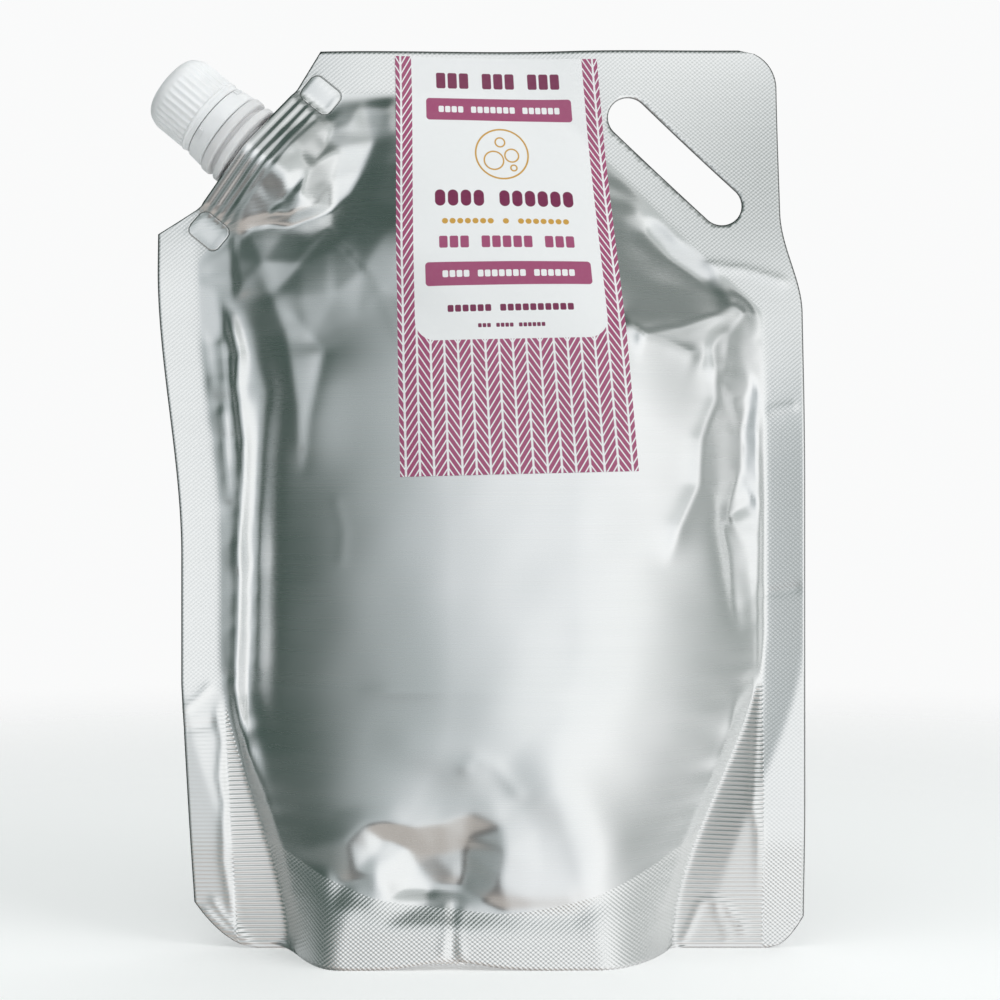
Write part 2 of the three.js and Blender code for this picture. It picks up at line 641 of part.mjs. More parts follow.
function cap() {
  const skirtTop = CAP_TO - CAP_DOME;
  const dome = [];
  for (let k = 0; k <= DOME_STEPS; k++) {
    const angle = ((Math.PI / 2) * k) / DOME_STEPS;
    dome.push([
      CAP_RADIUS - CAP_DOME + CAP_DOME * Math.cos(angle),
      skirtTop + CAP_DOME * Math.sin(angle),
    ]);
  }
  let shell = toManifold(
    turned([
      [0, CAP_TO - CAP_TOP],
      [CAP_BORE, CAP_TO - CAP_TOP],
      [CAP_BORE, CAP_FROM],
      [CAP_RADIUS + RIM.edge, CAP_FROM],
      [CAP_RADIUS + RIM.edge, CAP_FROM + RIM.edgeHeight],
      [CAP_RADIUS + RIM.ring, CAP_FROM + RIM.edgeHeight + RIM.slope],
      [CAP_RADIUS + RIM.ring, CAP_FROM + RIM_HEIGHT - RIM.slope],
      [CAP_RADIUS, CAP_FROM + RIM_HEIGHT],
      ...dome,
      [0, CAP_TO],
    ]),
  );
  const ribHeight = CAP_HEIGHT - RIM_HEIGHT - RIB.fromTop;
  for (let k = 0; k < RIBS; k++) {
    const rib = tooth(RIB.width, ribHeight, CAP_RADIUS, RIB.proud, CAP_FROM + RIM_HEIGHT - RIB.sunk);
    rib.rotateZ((2 * Math.PI * (k + 0.5)) / RIBS);
    shell = shell.add(toManifold(rib));
  }
  return toGeometry(shell);
}

function liner() {
  const radius = CAP_BORE - LINER_PLAY;
  const disc = new THREE.CylinderGeometry(radius, radius, LINER_THICK, LATHE_SIDES);
  return disc.rotateX(Math.PI / 2).translate(0, 0, LINER_TO - LINER_THICK / 2);
}

function finish(color, roughness, metalness) {
  return new THREE.MeshStandardMaterial({ color, roughness, metalness });
}

function piece(name, geometry, material) {
  const mesh = new THREE.Mesh(geometry, material);
  mesh.name = name;
  return mesh;
}

const foil = finish(0xc9cdce, 0.28, 1);
const paper = finish(0xdfe2e2, 0.5, 0);
const whitePlastic = finish(0xe9eaec, 0.42, 0);
const naturalPlastic = finish(0xcfd0d4, 0.38, 0);
const foam = finish(0xf2f2ee, 0.8, 0);

const pack = new THREE.Group();
pack.add(piece("pouch", pouch(), foil));
pack.add(piece("front_label", label(), paper));
pack.add(placeOnSpout(piece("spout", spout(), naturalPlastic)));
pack.add(placeOnSpout(piece("tamper_band", band(), whitePlastic)));
pack.add(placeOnSpout(piece("cap_liner", liner(), foam)));
pack.add(placeOnSpout(piece("screw_cap", cap(), whitePlastic)));

export default pack;
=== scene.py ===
# %% [markdown]
# # A one-litre hand soap refill pack
# The real thing is a foil pouch, filled and welded shut, that stands on a folded gusset. A moulded
# spout with a screw cap leaves one top corner, a carrying slot is cut through the other, and a
# printed panel runs down from the top edge. The solids of the pack are already placed, in metres, so
# the first step loads them.

# %% Load the frame
import math

import bmesh
import bpy
import numpy as np
from mathutils import Matrix, Vector
from mathutils.geometry import delaunay_2d_cdt


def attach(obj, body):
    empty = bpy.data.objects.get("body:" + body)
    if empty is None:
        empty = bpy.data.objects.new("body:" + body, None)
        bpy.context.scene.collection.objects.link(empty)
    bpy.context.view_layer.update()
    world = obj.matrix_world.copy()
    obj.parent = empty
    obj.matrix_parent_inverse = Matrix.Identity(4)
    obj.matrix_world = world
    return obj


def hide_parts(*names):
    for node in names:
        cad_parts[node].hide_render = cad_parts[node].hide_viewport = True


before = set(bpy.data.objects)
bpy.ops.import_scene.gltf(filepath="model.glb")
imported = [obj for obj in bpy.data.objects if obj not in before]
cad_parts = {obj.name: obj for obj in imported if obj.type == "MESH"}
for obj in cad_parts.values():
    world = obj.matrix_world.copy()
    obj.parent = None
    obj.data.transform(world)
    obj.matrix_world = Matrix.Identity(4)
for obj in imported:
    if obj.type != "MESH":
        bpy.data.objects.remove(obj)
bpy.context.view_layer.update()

MM = 0.001

# %% [markdown]
# ## Camera
# The photograph was taken straight at the front, level, from about half a metre. A camera that looks
# along +Y is a camera turned a quarter turn about X. The lens gives 0.28 mm to a pixel at the pack's
# middle plane, in a picture 1000 pixels wide.

# %% Camera
CAMERA_PLACE = (5.3, -520, 125.4)
LENS = 66.8


def add_camera():
    lens = bpy.data.cameras.new("camera")
    lens.lens = LENS
    lens.sensor_width = 36
    lens.clip_start = 0.01
    camera = bpy.data.objects.new("camera", lens)
    camera.location = Vector(CAMERA_PLACE) * MM
    camera.rotation_euler = (math.pi / 2, 0, 0)
    bpy.context.scene.collection.objects.link(camera)
    bpy.context.scene.camera = camera
    print("camera at", tuple(round(c, 3) for c in camera.location))


add_camera()

# %% [markdown]
# ## Shader maths as Python
# A material is a graph of nodes. Writing each Math node by hand hides the formula, so a small class
# wraps a socket and turns + - * / into nodes. Its reflected forms make `1 - mask` work. Every other
# node comes from one method that takes the node's type, its settings and its inputs. Its inputs and
# its output go by name, and by number where a node has several of one name, as Mix has.

# %% A socket that can be calculated with


class Wire:
    def __init__(self, graph, socket):
        self.graph = graph
        self.socket = socket

    def math(self, operation, *others, clamped=False):
        settings = {"operation": operation, "use_clamp": clamped}
        return self.graph.node("ShaderNodeMath", settings, dict(enumerate((self, *others))))

    def __add__(self, other):
        return self.math("ADD", other)

    def __radd__(self, other):
        return self.math("ADD", other)

    def __sub__(self, other):
        return self.math("SUBTRACT", other)

    def __rsub__(self, other):
        return (self * -1) + other

    def __mul__(self, other):
        return self.math("MULTIPLY", other)

    def __rmul__(self, other):
        return self.math("MULTIPLY", other)

    def __truediv__(self, other):
        return self.math("DIVIDE", other)

    def __abs__(self):
        return self.math("ABSOLUTE")

    def at_least(self, other):
        return self.math("MAXIMUM", other)

    def clamp(self):
        return self.math("ADD", 0.0, clamped=True)

    def ramp(self, start, end):
        """0 before start, 1 after end, smooth between."""
        settings = {"interpolation_type": "SMOOTHSTEP", "clamp": True}
        return self.graph.node("ShaderNodeMapRange", settings, {0: self, 1: start, 2: end})


# %% A graph of nodes


class Graph:
    def __init__(self, tree):
        self.tree = tree

    def node(self, kind, settings=None, values=None, output=0):
        node = self.tree.nodes.new(kind)
        for name, value in (settings or {}).items():
            if name == "stops":
                self.set_stops(node.color_ramp, value)
            else:
                setattr(node, name, value)
        for name, value in (values or {}).items():
            self.plug(node.inputs[name], value)
        return Wire(self, node.outputs[output])

    def set_stops(self, ramp, stops):
        while len(ramp.elements) < len(stops):
            ramp.elements.new(0.5)
        for element, (position, colour) in zip(ramp.elements, stops):
            element.position = position
            element.color = (*colour, 1)

    def plug(self, socket, value):
        if isinstance(value, Wire):
            self.tree.links.new(value.socket, socket)
        else:
            socket.default_value = value

    def tint(self, share, first, second):
        """A colour between two colours."""
        first, second = (c if isinstance(c, Wire) else (*c, 1) for c in (first, second))
        values = {0: share, 6: first, 7: second}
        return self.node("ShaderNodeMix", {"data_type": "RGBA"}, values, output=2)

    def split(self, vector):
        parts = self.node("ShaderNodeSeparateXYZ", values={0: vector})
        return [Wire(self, socket) for socket in parts.socket.node.outputs]

    def noise(self, place, scale, detail=2.0, roughness=0.5):
        values = {"Vector": place, "Scale": scale, "Detail": detail, "Roughness": roughness}
        return self.node("ShaderNodeTexNoise", values=values)

    def stretched(self, place, scale):
        return self.node("ShaderNodeMapping", values={"Vector": place, "Scale": scale})


class Finish(Graph):
    """A material with one Principled shader."""

    def __init__(self, name, **constants):
        self.material = bpy.data.materials.new(name)
        self.material.use_nodes = True
        super().__init__(self.material.node_tree)
        self.shader = self.tree.nodes["Principled BSDF"]
        for key, value in constants.items():
            self.set(key.replace("_", " ").title().replace("Ior", "IOR"), value)

    def set(self, socket_name, value):
        self.plug(self.shader.inputs[socket_name], value)

    def object_place(self):
        return self.node("ShaderNodeTexCoord", output="Object")

    def uv_place(self):
        return self.node("ShaderNodeTexCoord", output="UV")

    def attribute(self, name):
        return self.node("ShaderNodeAttribute", {"attribute_name": name}, output="Fac")

    def bump(self, height, distance, strength=1.0, under=None):
        values = {"Height": height, "Distance": distance, "Strength": strength}
        if under:
            values["Normal"] = under
        normal = self.node("ShaderNodeBump", values=values)
        self.set("Normal", normal)
        return normal


print("shader helpers ready")

# %% [markdown]
# ## Studio
# Foil shows its surroundings, so the light is drawn as a room. Its tones run across from dark on the
# left to white on the right. On top of them lie soft spots: dim greenish ones high up, which darken
# the film under the spout and by the slot, a grey one high in front, and tan and brown ones low in
# front, which the crumple above the skirt shows. The world's Generated coordinate is the direction
# looked in. Rays from the camera itself see a plain pale tone instead of the room.

# %% The room that the foil reflects
PALE = (0.955, 0.958, 0.958)
FAR_WALL = (0.47, 0.49, 0.49)
BRIGHT_WALL = (1.12, 1.125, 1.12)
DIM_WALL = (0.060, 0.092, 0.080)
TAN_WALL = (0.54, 0.49, 0.45)
BROWN_WALL = (0.075, 0.070, 0.066)
MIDDLE_WALL = (0.42, 0.46, 0.45)
TONES_ACROSS = [
    (0.00, (0.075, 0.100, 0.090)),
    (0.05, (0.15, 0.18, 0.172)),
    (0.12, (0.30, 0.335, 0.335)),
    (0.20, (0.42, 0.46, 0.465)),
    (0.31, (0.51, 0.555, 0.565)),
    (0.43, (0.68, 0.715, 0.735)),
    (0.50, (0.90, 0.925, 0.945)),
    (0.57, (1.06, 1.08, 1.09)),
    (0.82, (1.12, 1.13, 1.13)),
    (0.93, (0.74, 0.76, 0.76)),
    (1.00, (0.38, 0.41, 0.40)),
]
# where each spot lies, the cosines of its outer and inner edge, how strong it is, and its tone
SPOTS = [
    ((-0.80, -0.10, 0.60), 0.62, 0.94, 1.0, DIM_WALL),
    ((-0.25, -0.25, 0.93), 0.62, 0.93, 1.0, DIM_WALL),
    ((-0.30, -0.35, -0.88), 0.74, 0.95, 0.9, TAN_WALL),
    ((-0.45, -0.74, -0.50), 0.955, 0.992, 0.85, BROWN_WALL),
    ((0.43, -0.74, 0.52), 0.94, 0.99, 0.75, MIDDLE_WALL),
    ((0.66, -0.12, 0.74), 0.88, 0.97, 0.85, DIM_WALL),
]


def spot(room, direction, toward, wide, sharp):
    """1 near one direction of the room, 0 outside it; wide and sharp are cosines."""
    aim = Vector(toward).normalized()
    settings = {"operation": "DOT_PRODUCT"}
    facing = room.node("ShaderNodeVectorMath", settings, {0: direction, 1: aim}, output="Value")
    return facing.ramp(wide, sharp)


def light_the_room():
    world = bpy.data.worlds.new("studio")
    world.use_nodes = True
    bpy.context.scene.world = world
    room = Graph(world.node_tree)
    background = room.tree.nodes["Background"]
    direction = room.node("ShaderNodeTexCoord", output="Generated")
    across, along, up = room.split(direction)
    lit = room.node("ShaderNodeValToRGB", {"stops": TONES_ACROSS}, {0: across * 0.5 + 0.5})
    lit = room.tint(up.ramp(0.5, 0.9) * (across + 0.05).ramp(0.0, 0.3), lit, BRIGHT_WALL)
    for toward, wide, sharp, share, tone in SPOTS:
        lit = room.tint(spot(room, direction, toward, wide, sharp) * share, lit, tone)
    lit = room.tint(along.ramp(0.1, 0.8) * 0.8, lit, FAR_WALL)
    seen_directly = room.node("ShaderNodeLightPath", output="Is Camera Ray")
    room.plug(background.inputs["Color"], room.tint(seen_directly, lit, PALE))
    room.plug(background.inputs["Strength"], 1.0)


light_the_room()
print("room with", len(TONES_ACROSS), "tones across and", len(SPOTS), "spots")

# %% Soft lamps


def add_softbox(name, place, aim, width, height, power):
    lamp = bpy.data.lights.new(name, "AREA")
    lamp.shape = "RECTANGLE"
    lamp.size = width
    lamp.size_y = height
    lamp.energy = power
    softbox = bpy.data.objects.new(name, lamp)
    softbox.location = place
    softbox.visible_glossy = False
    softbox.rotation_euler = (Vector(aim) - Vector(place)).to_track_quat("-Z", "Y").to_euler()
    bpy.context.scene.collection.objects.link(softbox)


PACK_MIDDLE = (0, 0, 0.12)
add_softbox("softbox_right", (0.75, -0.45, 0.9), PACK_MIDDLE, 0.7, 0.7, 4.0)
add_softbox("softbox_top", (-0.3, -0.4, 1.0), PACK_MIDDLE, 0.9, 0.6, 3.6)
bpy.context.scene.view_settings.view_transform = "Standard"
print("two softboxes")

# %% [markdown]
# ## Floor
# A round sheet of pale board. It turns clear with distance, so that it meets the plain background
# softly. Mirror-like rays pass it by and see the room's own lower half, which
# keeps the film from turning into a white mirror of the board.

# %% Floor
FLOOR_RADIUS = 1.4
FLOOR_FADES = (0.2, 0.8)  # from and to these distances from the middle
FLOOR_GLOW = 0.22


def add_floor():
    bm = bmesh.new()
    bmesh.ops.create_circle(bm, cap_ends=True, segments=96, radius=FLOOR_RADIUS)
    mesh = bpy.data.meshes.new("floor")
    bm.to_mesh(mesh)
    bm.free()
    floor = bpy.data.objects.new("floor", mesh)
    bpy.context.scene.collection.objects.link(floor)
    board = Finish("pale_board", base_color=(*PALE, 1), roughness=0.85)
    settings = {"operation": "LENGTH"}
    distance = board.node("ShaderNodeVectorMath", settings, {0: board.object_place()}, output="Value")
    board.set("Alpha", 1 - distance.ramp(*FLOOR_FADES))
    board.set("Emission Color", (*PALE, 1))
    board.set("Emission Strength", FLOOR_GLOW)
    mesh.materials.append(board.material)
    floor.visible_glossy = False


add_floor()
print("floor of radius", FLOOR_RADIUS)

# %% [markdown]
# ## The shape of the film
# The pouch is two flat sheets welded at their edges, so each face is one depth over a flat plan: how
# far the soap pushes the film out at each place. Numbers in millimetres describe the outline, the
# fill and the folds, as they do in the part's own drawing. All of it is worked out on numpy arrays,
# because one formula over two hundred thousand places takes no longer than a blink.

# %% Outline of the film
WIDTH = 180.6
HEIGHT = 251.0
SIDE_SEAL = 11.0
TOP_SEAL = 12.0
PAIR = 0.6  # two plies welded together
TOP_CORNER = 11.0  # radius of the handle corner
LEFT_FOOT = {"width": 17, "height": 13}
RIGHT_FOOT = {"width": 10, "height": 9}
LEFT_TAPER = {"by": 4.2, "height": 74}  # the spout side's edge slants in above its foot
LEFT_DRAW_IN = {"by": 6.6, "start": 110, "over": 80}  # the filled bag pulls that side inwards
HANDLE_DRAW_IN = {"by": 5.6, "start": HEIGHT - 73, "over": 28}  # and the handle corner curls in
SPOUT_TILT = math.radians(39.5)
SPOUT_FOOT = np.array([-65.2, 223.6])  # middle of the slanted edge that holds the spout
SPOUT_EDGE = 41.0  # length of that edge
SHOULDER_RUN = 7.2  # from the slanted edge on to the top edge, across
CHIN_DROP = 8  # from the slanted edge on to the side edge, down
OUT = np.array([-math.cos(SPOUT_TILT), math.sin(SPOUT_TILT)])
ALONG = np.array([math.sin(SPOUT_TILT), math.cos(SPOUT_TILT)])
EDGE_TOP = SPOUT_FOOT + ALONG * SPOUT_EDGE / 2
EDGE_LOW = SPOUT_FOOT - ALONG * SPOUT_EDGE / 2
CHIN = EDGE_LOW[1] - CHIN_DROP


def clamp(t):
    return np.clip(t, 0, 1)


def ramp(t):
    return clamp(t) ** 2 * (3 - 2 * clamp(t))


def mix(a, b, t):
    return a + (b - a) * t


def spout_place(x, z):
    """Distance out of the pouch and along the slanted edge, from the middle of that edge."""
    dx, dz = x - SPOUT_FOOT[0], z - SPOUT_FOOT[1]
    return dx * OUT[0] + dz * OUT[1], dx * ALONG[0] + dz * ALONG[1]


def left_pull(z):
    """How far the spout side's edge stands in from the full width."""
    drawn = LEFT_DRAW_IN["by"] * (1 - ramp((z - LEFT_DRAW_IN["start"]) / LEFT_DRAW_IN["over"]))
    return drawn + LEFT_TAPER["by"] * (1 - clamp(z / LEFT_TAPER["height"]))


def foot_corner(z, foot):
    """How far a turned-under corner stands in."""
    return foot["width"] * (1 - np.sqrt(clamp(z / foot["height"])))


def left_edge(z):
    side = -WIDTH / 2 + left_pull(z) + foot_corner(z, LEFT_FOOT)
    chin = mix(-WIDTH / 2, EDGE_LOW[0], (z - CHIN) / (EDGE_LOW[1] - CHIN))
    slant = mix(EDGE_LOW[0], EDGE_TOP[0], (z - EDGE_LOW[1]) / (EDGE_TOP[1] - EDGE_LOW[1]))
    shoulder = EDGE_TOP[0] + SHOULDER_RUN * (z - EDGE_TOP[1]) / (HEIGHT - EDGE_TOP[1])
    conditions = [z <= CHIN, z <= EDGE_LOW[1], z <= EDGE_TOP[1]]
    return np.select(conditions, [side, chin, slant], shoulder)


def right_edge(z):
    drawn = HANDLE_DRAW_IN["by"] * ramp((z - HANDLE_DRAW_IN["start"]) / HANDLE_DRAW_IN["over"])
    up = clamp((z - HEIGHT + TOP_CORNER) / TOP_CORNER)
    return WIDTH / 2 - drawn - foot_corner(z, RIGHT_FOOT) - TOP_CORNER * (1 - np.sqrt(1 - up * up))


print("film edge at mid height:", left_edge(np.array(125.0)), right_edge(np.array(125.0)))

# %% How far the soap pushes the film out
SLOT_ANGLE = math.radians(-43.8)
SLOT_CENTRE = np.array([WIDTH / 2 - 35.4, HEIGHT - 29.5])
SLOT_LENGTH = 48.0
SLOT_WIDTH = 11.6
SLOT_MARGIN = 8.6  # welded film kept between the slot and the bag
BOAT_DEPTH = 9.0  # the spout's foot reaches this far in from the slanted edge
FOOT_WELD = {"left": (15, 80), "right": (26, 90)}  # a side seal widens by so much below this height
BELLY_DEPTH = 25.5  # half the bag's depth, up to the belly's height
BELLY_HEIGHT = 66
SHOULDER_DEPTH = 19.5
SHOULDER_HEIGHT = 158
SIDE_REACH = {"left": 58, "right": 54}  # how far in from a weld the bag is fully swollen
FOOT_REACH = {"left": 16, "right": 22}  # the same at the floor
TOP_REACH = 72
CORNER_REACH = 46  # in from the welds at the slot and the spout
LEFT_STRIP = {"width": 7, "start": 46, "opens": 30, "end": 192, "closes": 26}


def swell(distance, reach):
    return 1 - (1 - clamp(distance / reach)) ** 2


def seal_at(z, extra, height):
    """The side seals widen towards the floor."""
    return SIDE_SEAL + extra * (1 - ramp(z / height))


def slot_place(x, z):
    """Distances along the slot and square to it."""
    dx, dz = x - SLOT_CENTRE[0], z - SLOT_CENTRE[1]
    along = dx * math.cos(SLOT_ANGLE) + dz * math.sin(SLOT_ANGLE)
    return along, -dx * math.sin(SLOT_ANGLE) + dz * math.cos(SLOT_ANGLE)


def weld_distances(x, z):
    """Distances in from the left, right, top, slot and spout welds."""
    left = x + WIDTH / 2 - left_pull(np.minimum(z, CHIN)) - seal_at(z, *FOOT_WELD["left"])
    between_corners = np.clip(z, RIGHT_FOOT["height"], HEIGHT - TOP_CORNER)
    right = right_edge(between_corners) - seal_at(z, *FOOT_WELD["right"]) - x
    slot = -slot_place(x, z)[1] - SLOT_WIDTH / 2 - SLOT_MARGIN
    spout = -spout_place(x, z)[0] - BOAT_DEPTH
    return left, right, HEIGHT - TOP_SEAL - z, slot, spout


def left_strip(z):
    """Width of the film that lies flat between the left weld and the bag."""
    opened = ramp((z - LEFT_STRIP["start"]) / LEFT_STRIP["opens"])
    return LEFT_STRIP["width"] * opened * ramp((LEFT_STRIP["end"] - z) / LEFT_STRIP["closes"])


def bag_depth(x, z):
    left, right, top, slot, spout = weld_distances(x, z)
    risen = ramp((z - BELLY_HEIGHT) / (SHOULDER_HEIGHT - BELLY_HEIGHT))
    full = mix(BELLY_DEPTH, SHOULDER_DEPTH, risen)
    low = ramp(z / BELLY_HEIGHT)
    from_left = swell(left - left_strip(z), mix(FOOT_REACH["left"], SIDE_REACH["left"], low))
    from_right = swell(right, mix(FOOT_REACH["right"], SIDE_REACH["right"], low))
    sides = from_left * from_right
    return full * sides * swell(top, TOP_REACH) * swell(slot, CORNER_REACH) * swell(spout, CORNER_REACH)


print("half depth of the belly:", round(float(bag_depth(np.array(0.0), np.array(66.0))), 1), "mm")

# %% [markdown]
# ## Folds
# A foil film can't stretch, so where it is pushed it folds: soft rolls where it is full, and sharp
# ridges with flat facets between them where it is slack. A roll is a bell curve and a crease a sharp
# ridge, each along a run of points: its height, its width, and the run. The two crumples further on
# come from nets of points with depths, joined into flat triangles.

# %% Runs of folds


def follow_run(x, z, points):
    """Distance to a run of points, and the share of the run passed at the nearest place."""
    nearest = np.full(np.shape(x), np.inf)
    passed = np.zeros(np.shape(x))
    lengths = [math.dist(a, b) for a, b in zip(points, points[1:])]
    gone = 0.0
    for (ax, az), (bx, bz), length in zip(points, points[1:], lengths):
        t = clamp(((x - ax) * (bx - ax) + (z - az) * (bz - az)) / length ** 2)
        away = np.hypot(x - mix(ax, bx, t), z - mix(az, bz, t))
        passed = np.where(away < nearest, (gone + t * length) / sum(lengths), passed)
        nearest = np.minimum(nearest, away)
        gone += length
    return nearest, passed


def fading(passed, share=0.16):
    """Full in the middle of a run, nothing at its two ends."""
    return ramp(passed / share) * ramp((1 - passed) / share)


def soft_fold(x, z, height, width, run):
    away, passed = follow_run(x, z, run)
    return height * np.exp(-((away / width) ** 2)) * fading(passed, 0.3)


def crease(x, z, height, width, run, blunt=0.6):
    """A ridge with a sharp top that falls away on both sides and fades at its two ends."""
    away, passed = follow_run(x, z, run)
    return height * np.exp(-(np.hypot(away, blunt) - blunt) / width) * fading(passed)


FRONT_ROLLS = [
    (1.3, 9, [(-68, 196), (-58, 178), (-48, 155), (-46, 128)]),
    (
        -2.6, 4.2,
        [(-66, 184), (-63, 170), (-59, 156), (-61, 138), (-62, 120), (-62, 92), (-62, 70), (-58, 50)],
    ),
    (-1.1, 4, [(-58, 28), (-36, 19), (-8, 14.5), (25, 15), (56, 30)]),
    (-4, 18, [(-66, 200), (-56, 184), (-42, 178), (-28, 184), (-20, 198)]),
    (-3, 7, [(38, 206), (52, 194), (72, 186)]),
    (-2.2, 5, [(77, 160), (70, 145), (70, 120), (74, 92)]),
    (1.2, 9, [(10, 60), (30, 40), (40, 20)]),
    (0.4, 6, [(-30, 62), (-12, 58), (8, 50)]),
]
BACK_ROLLS = [
    (-6, 14, [(-48, 200), (-34, 210)]),
    (-4, 9, [(-52, 172), (-30, 140)]),
    (-3, 4, [(-58, 25), (-28, 14), (25, 13), (56, 25)]),
    (-5, 6, [(12, -5), (15, 22)]),
    (-4, 9, [(-34, 30), (-14, 24)]),
]
FRONT_CREASES = [
    (
        2.8, 1.9,
        [(-74, 184), (-70, 176), (-67.5, 166), (-68, 157), (-66.2, 142), (-66.8, 120), (-68.4, 101)],
    ),
    (2.4, 1.7, [(-66.5, 116), (-67.2, 101), (-67.6, 87), (-68.4, 73), (-66.2, 60), (-61, 46)]),
    (1.5, 1.6, [(-80, 184), (-78, 167), (-76, 159), (-77, 142), (-75.4, 125), (-76.4, 90), (-73, 64)]),
    (1.1, 1.6, [(-73, 176), (-71.6, 160), (-71.8, 140), (-71, 122)]),
    (1.0, 1.4, [(-73.4, 124), (-72, 108), (-72.6, 90), (-71, 76)]),
    (0.9, 3.0, [(-63, 192), (-54, 172), (-50, 150), (-49.5, 132)]),
    (-0.8, 3.0, [(-56, 182), (-43, 166), (-47, 148), (-49, 130)]),
    (2.4, 4.4, [(36, 176), (44, 171), (55, 173), (66, 177), (78, 184)]),
    (1.3, 2.6, [(41, 170), (51, 168), (61, 164)]),
    (2.0, 3.2, [(72, 179), (64, 168), (65, 153), (60.5, 142), (59.5, 129), (54, 118), (50, 106)]),
    (1.5, 2.6, [(78, 184), (69, 171), (67, 157)]),
    (-1.5, 2.4, [(76, 157), (73, 145), (73, 134), (67, 119), (69, 109), (70, 98), (72, 86)]),
    (-1.8, 3.2, [(68, 152), (78, 156)]),
    (-1.6, 3.2, [(67, 120), (77, 126)]),
    (0.25, 1.8, [(-6, 52), (-2, 57), (4, 55), (12, 45)]),
    (0.12, 0.9, [(-40, 128), (-37, 117), (-38, 106)]),
    (0.35, 2.2, [(-34, 74), (-6, 75), (30, 73)]),
    (1.6, 2.4, [(71, 74), (69, 60), (64, 46), (58, 33), (53, 20), (50, 8)]),
    (1.6, 2.4, [(-70, 73), (-65, 60), (-59, 43), (-53, 25), (-50, 8)]),
]
BACK_CREASES = [
    (2.6, 3, [(-75, 160), (-73, 120), (-72, 80)]),
    (1.8, 4, [(66, 172), (60, 150), (56, 130), (60, 96)]),
    (1.2, 3, [(-58, 188), (-50, 160), (-47, 140)]),
    (1.4, 3, [(40, 172), (55, 174), (72, 184)]),
    (2.0, 3, [(-71, 73), (-60, 43), (-50, 5)]),
    (2.0, 3, [(71, 74), (65, 46), (57, 30), (53, 6)]),
    (1.4, 3, [(-30, 38), (-18, 44), (-2, 40)]),
]
print("folds in front:", len(FRONT_ROLLS + FRONT_CREASES), "behind:", len(BACK_ROLLS + BACK_CREASES))

# %% A fine plan of the film to draw folds on
STEP = 0.5
PLAN_X = np.arange(-96, 96 + STEP, STEP)
PLAN_Z = np.arange(-4, 260 + STEP, STEP)
X, Z = np.meshgrid(PLAN_X, PLAN_Z)


def blurred(field, radius):
    """The field with details under radius (mm) smoothed away."""
    reach = int(3 * radius / STEP) + 1
    offsets = np.arange(-reach, reach + 1) * STEP
    weights = np.exp(-((offsets / radius) ** 2) / 2)
    weights /= weights.sum()
    for axis in (0, 1):
        padded = np.pad(field, [(reach, reach) if a == axis else (0, 0) for a in (0, 1)], mode="edge")
        field = np.apply_along_axis(lambda line: np.convolve(line, weights, mode="valid"), axis, padded)
    return field


def sample(field, x, z):
    """The plan's value at places between its points."""
    i = np.clip((x - PLAN_X[0]) / STEP, 0, len(PLAN_X) - 1.001)
    j = np.clip((z - PLAN_Z[0]) / STEP, 0, len(PLAN_Z) - 1.001)
    i0, j0 = i.astype(int), j.astype(int)
    u, v = i - i0, j - j0
    low = mix(field[j0, i0], field[j0, i0 + 1], u)
    high = mix(field[j0 + 1, i0], field[j0 + 1, i0 + 1], u)
    return mix(low, high, v)


def off_plan(plan, nodes):
    """Nodes given by their own depth, turned into how far each lies off the plan."""
    return [(x, z, y - float(sample(plan, np.array(x), np.array(z)))) for x, z, y in nodes]


def facets(plan, nodes, rim, rounded=0.55):
    """Adds flat triangles between nodes (x, z, off the plan). Points of the rim stay on the plan."""
    points = nodes + [(x, z, 0.0) for x, z in rim]
    corners, _, triangles, *_ = delaunay_2d_cdt([Vector(p[:2]) for p in points], [], [], 0, 1e-4)
    relief = np.zeros_like(X)
    for a, b, c in triangles:
        (ax, az), (bx, bz), (cx, cz) = corners[a], corners[b], corners[c]
        area = (bx - ax) * (cz - az) - (cx - ax) * (bz - az)
        to_b = ((X - ax) * (cz - az) - (cx - ax) * (Z - az)) / area
        to_c = ((bx - ax) * (Z - az) - (X - ax) * (bz - az)) / area
        inside = (to_b >= 0) & (to_c >= 0) & (to_b + to_c <= 1)
        value = points[a][2] * (1 - to_b - to_c) + points[b][2] * to_b + points[c][2] * to_c
        relief = np.where(inside, value, relief)
    return plan + blurred(relief, rounded)


print("plan of", X.shape, "points")

# %% [markdown]
# ## The sleeve round the spout
# The spout's foot is a boat-shaped block between the two sheets. The film is welded round it, so the
# sheets part there by the boat's thickness and carry the ribs of the welding jaws, and the film
# closes again below the boat.

# %% The sleeve's depth
BOAT_HALF_LENGTH = 20.0
BOAT_HALF_THICK = 8.6
BOAT_TIP = 0.9
BOAT_ROUND = 2.5
WRAP = 1.0  # the film's face stands this far off the boat
SLEEVE_TAIL = 8  # below the boat the film closes up over this length
SLEEVE_END = 0.35  # to this share of the boat's thickness
JAW_RIB = {"height": 0.42, "pitch": 2.45}


def boat_half(along, middle=BOAT_ROUND):
    """Half the boat's thickness, with its middle rounded by so much."""
    whole = math.hypot(BOAT_HALF_LENGTH, middle) - middle
    bend = np.hypot(along, middle) - middle
    return mix(BOAT_HALF_THICK, BOAT_TIP, clamp(bend / whole))


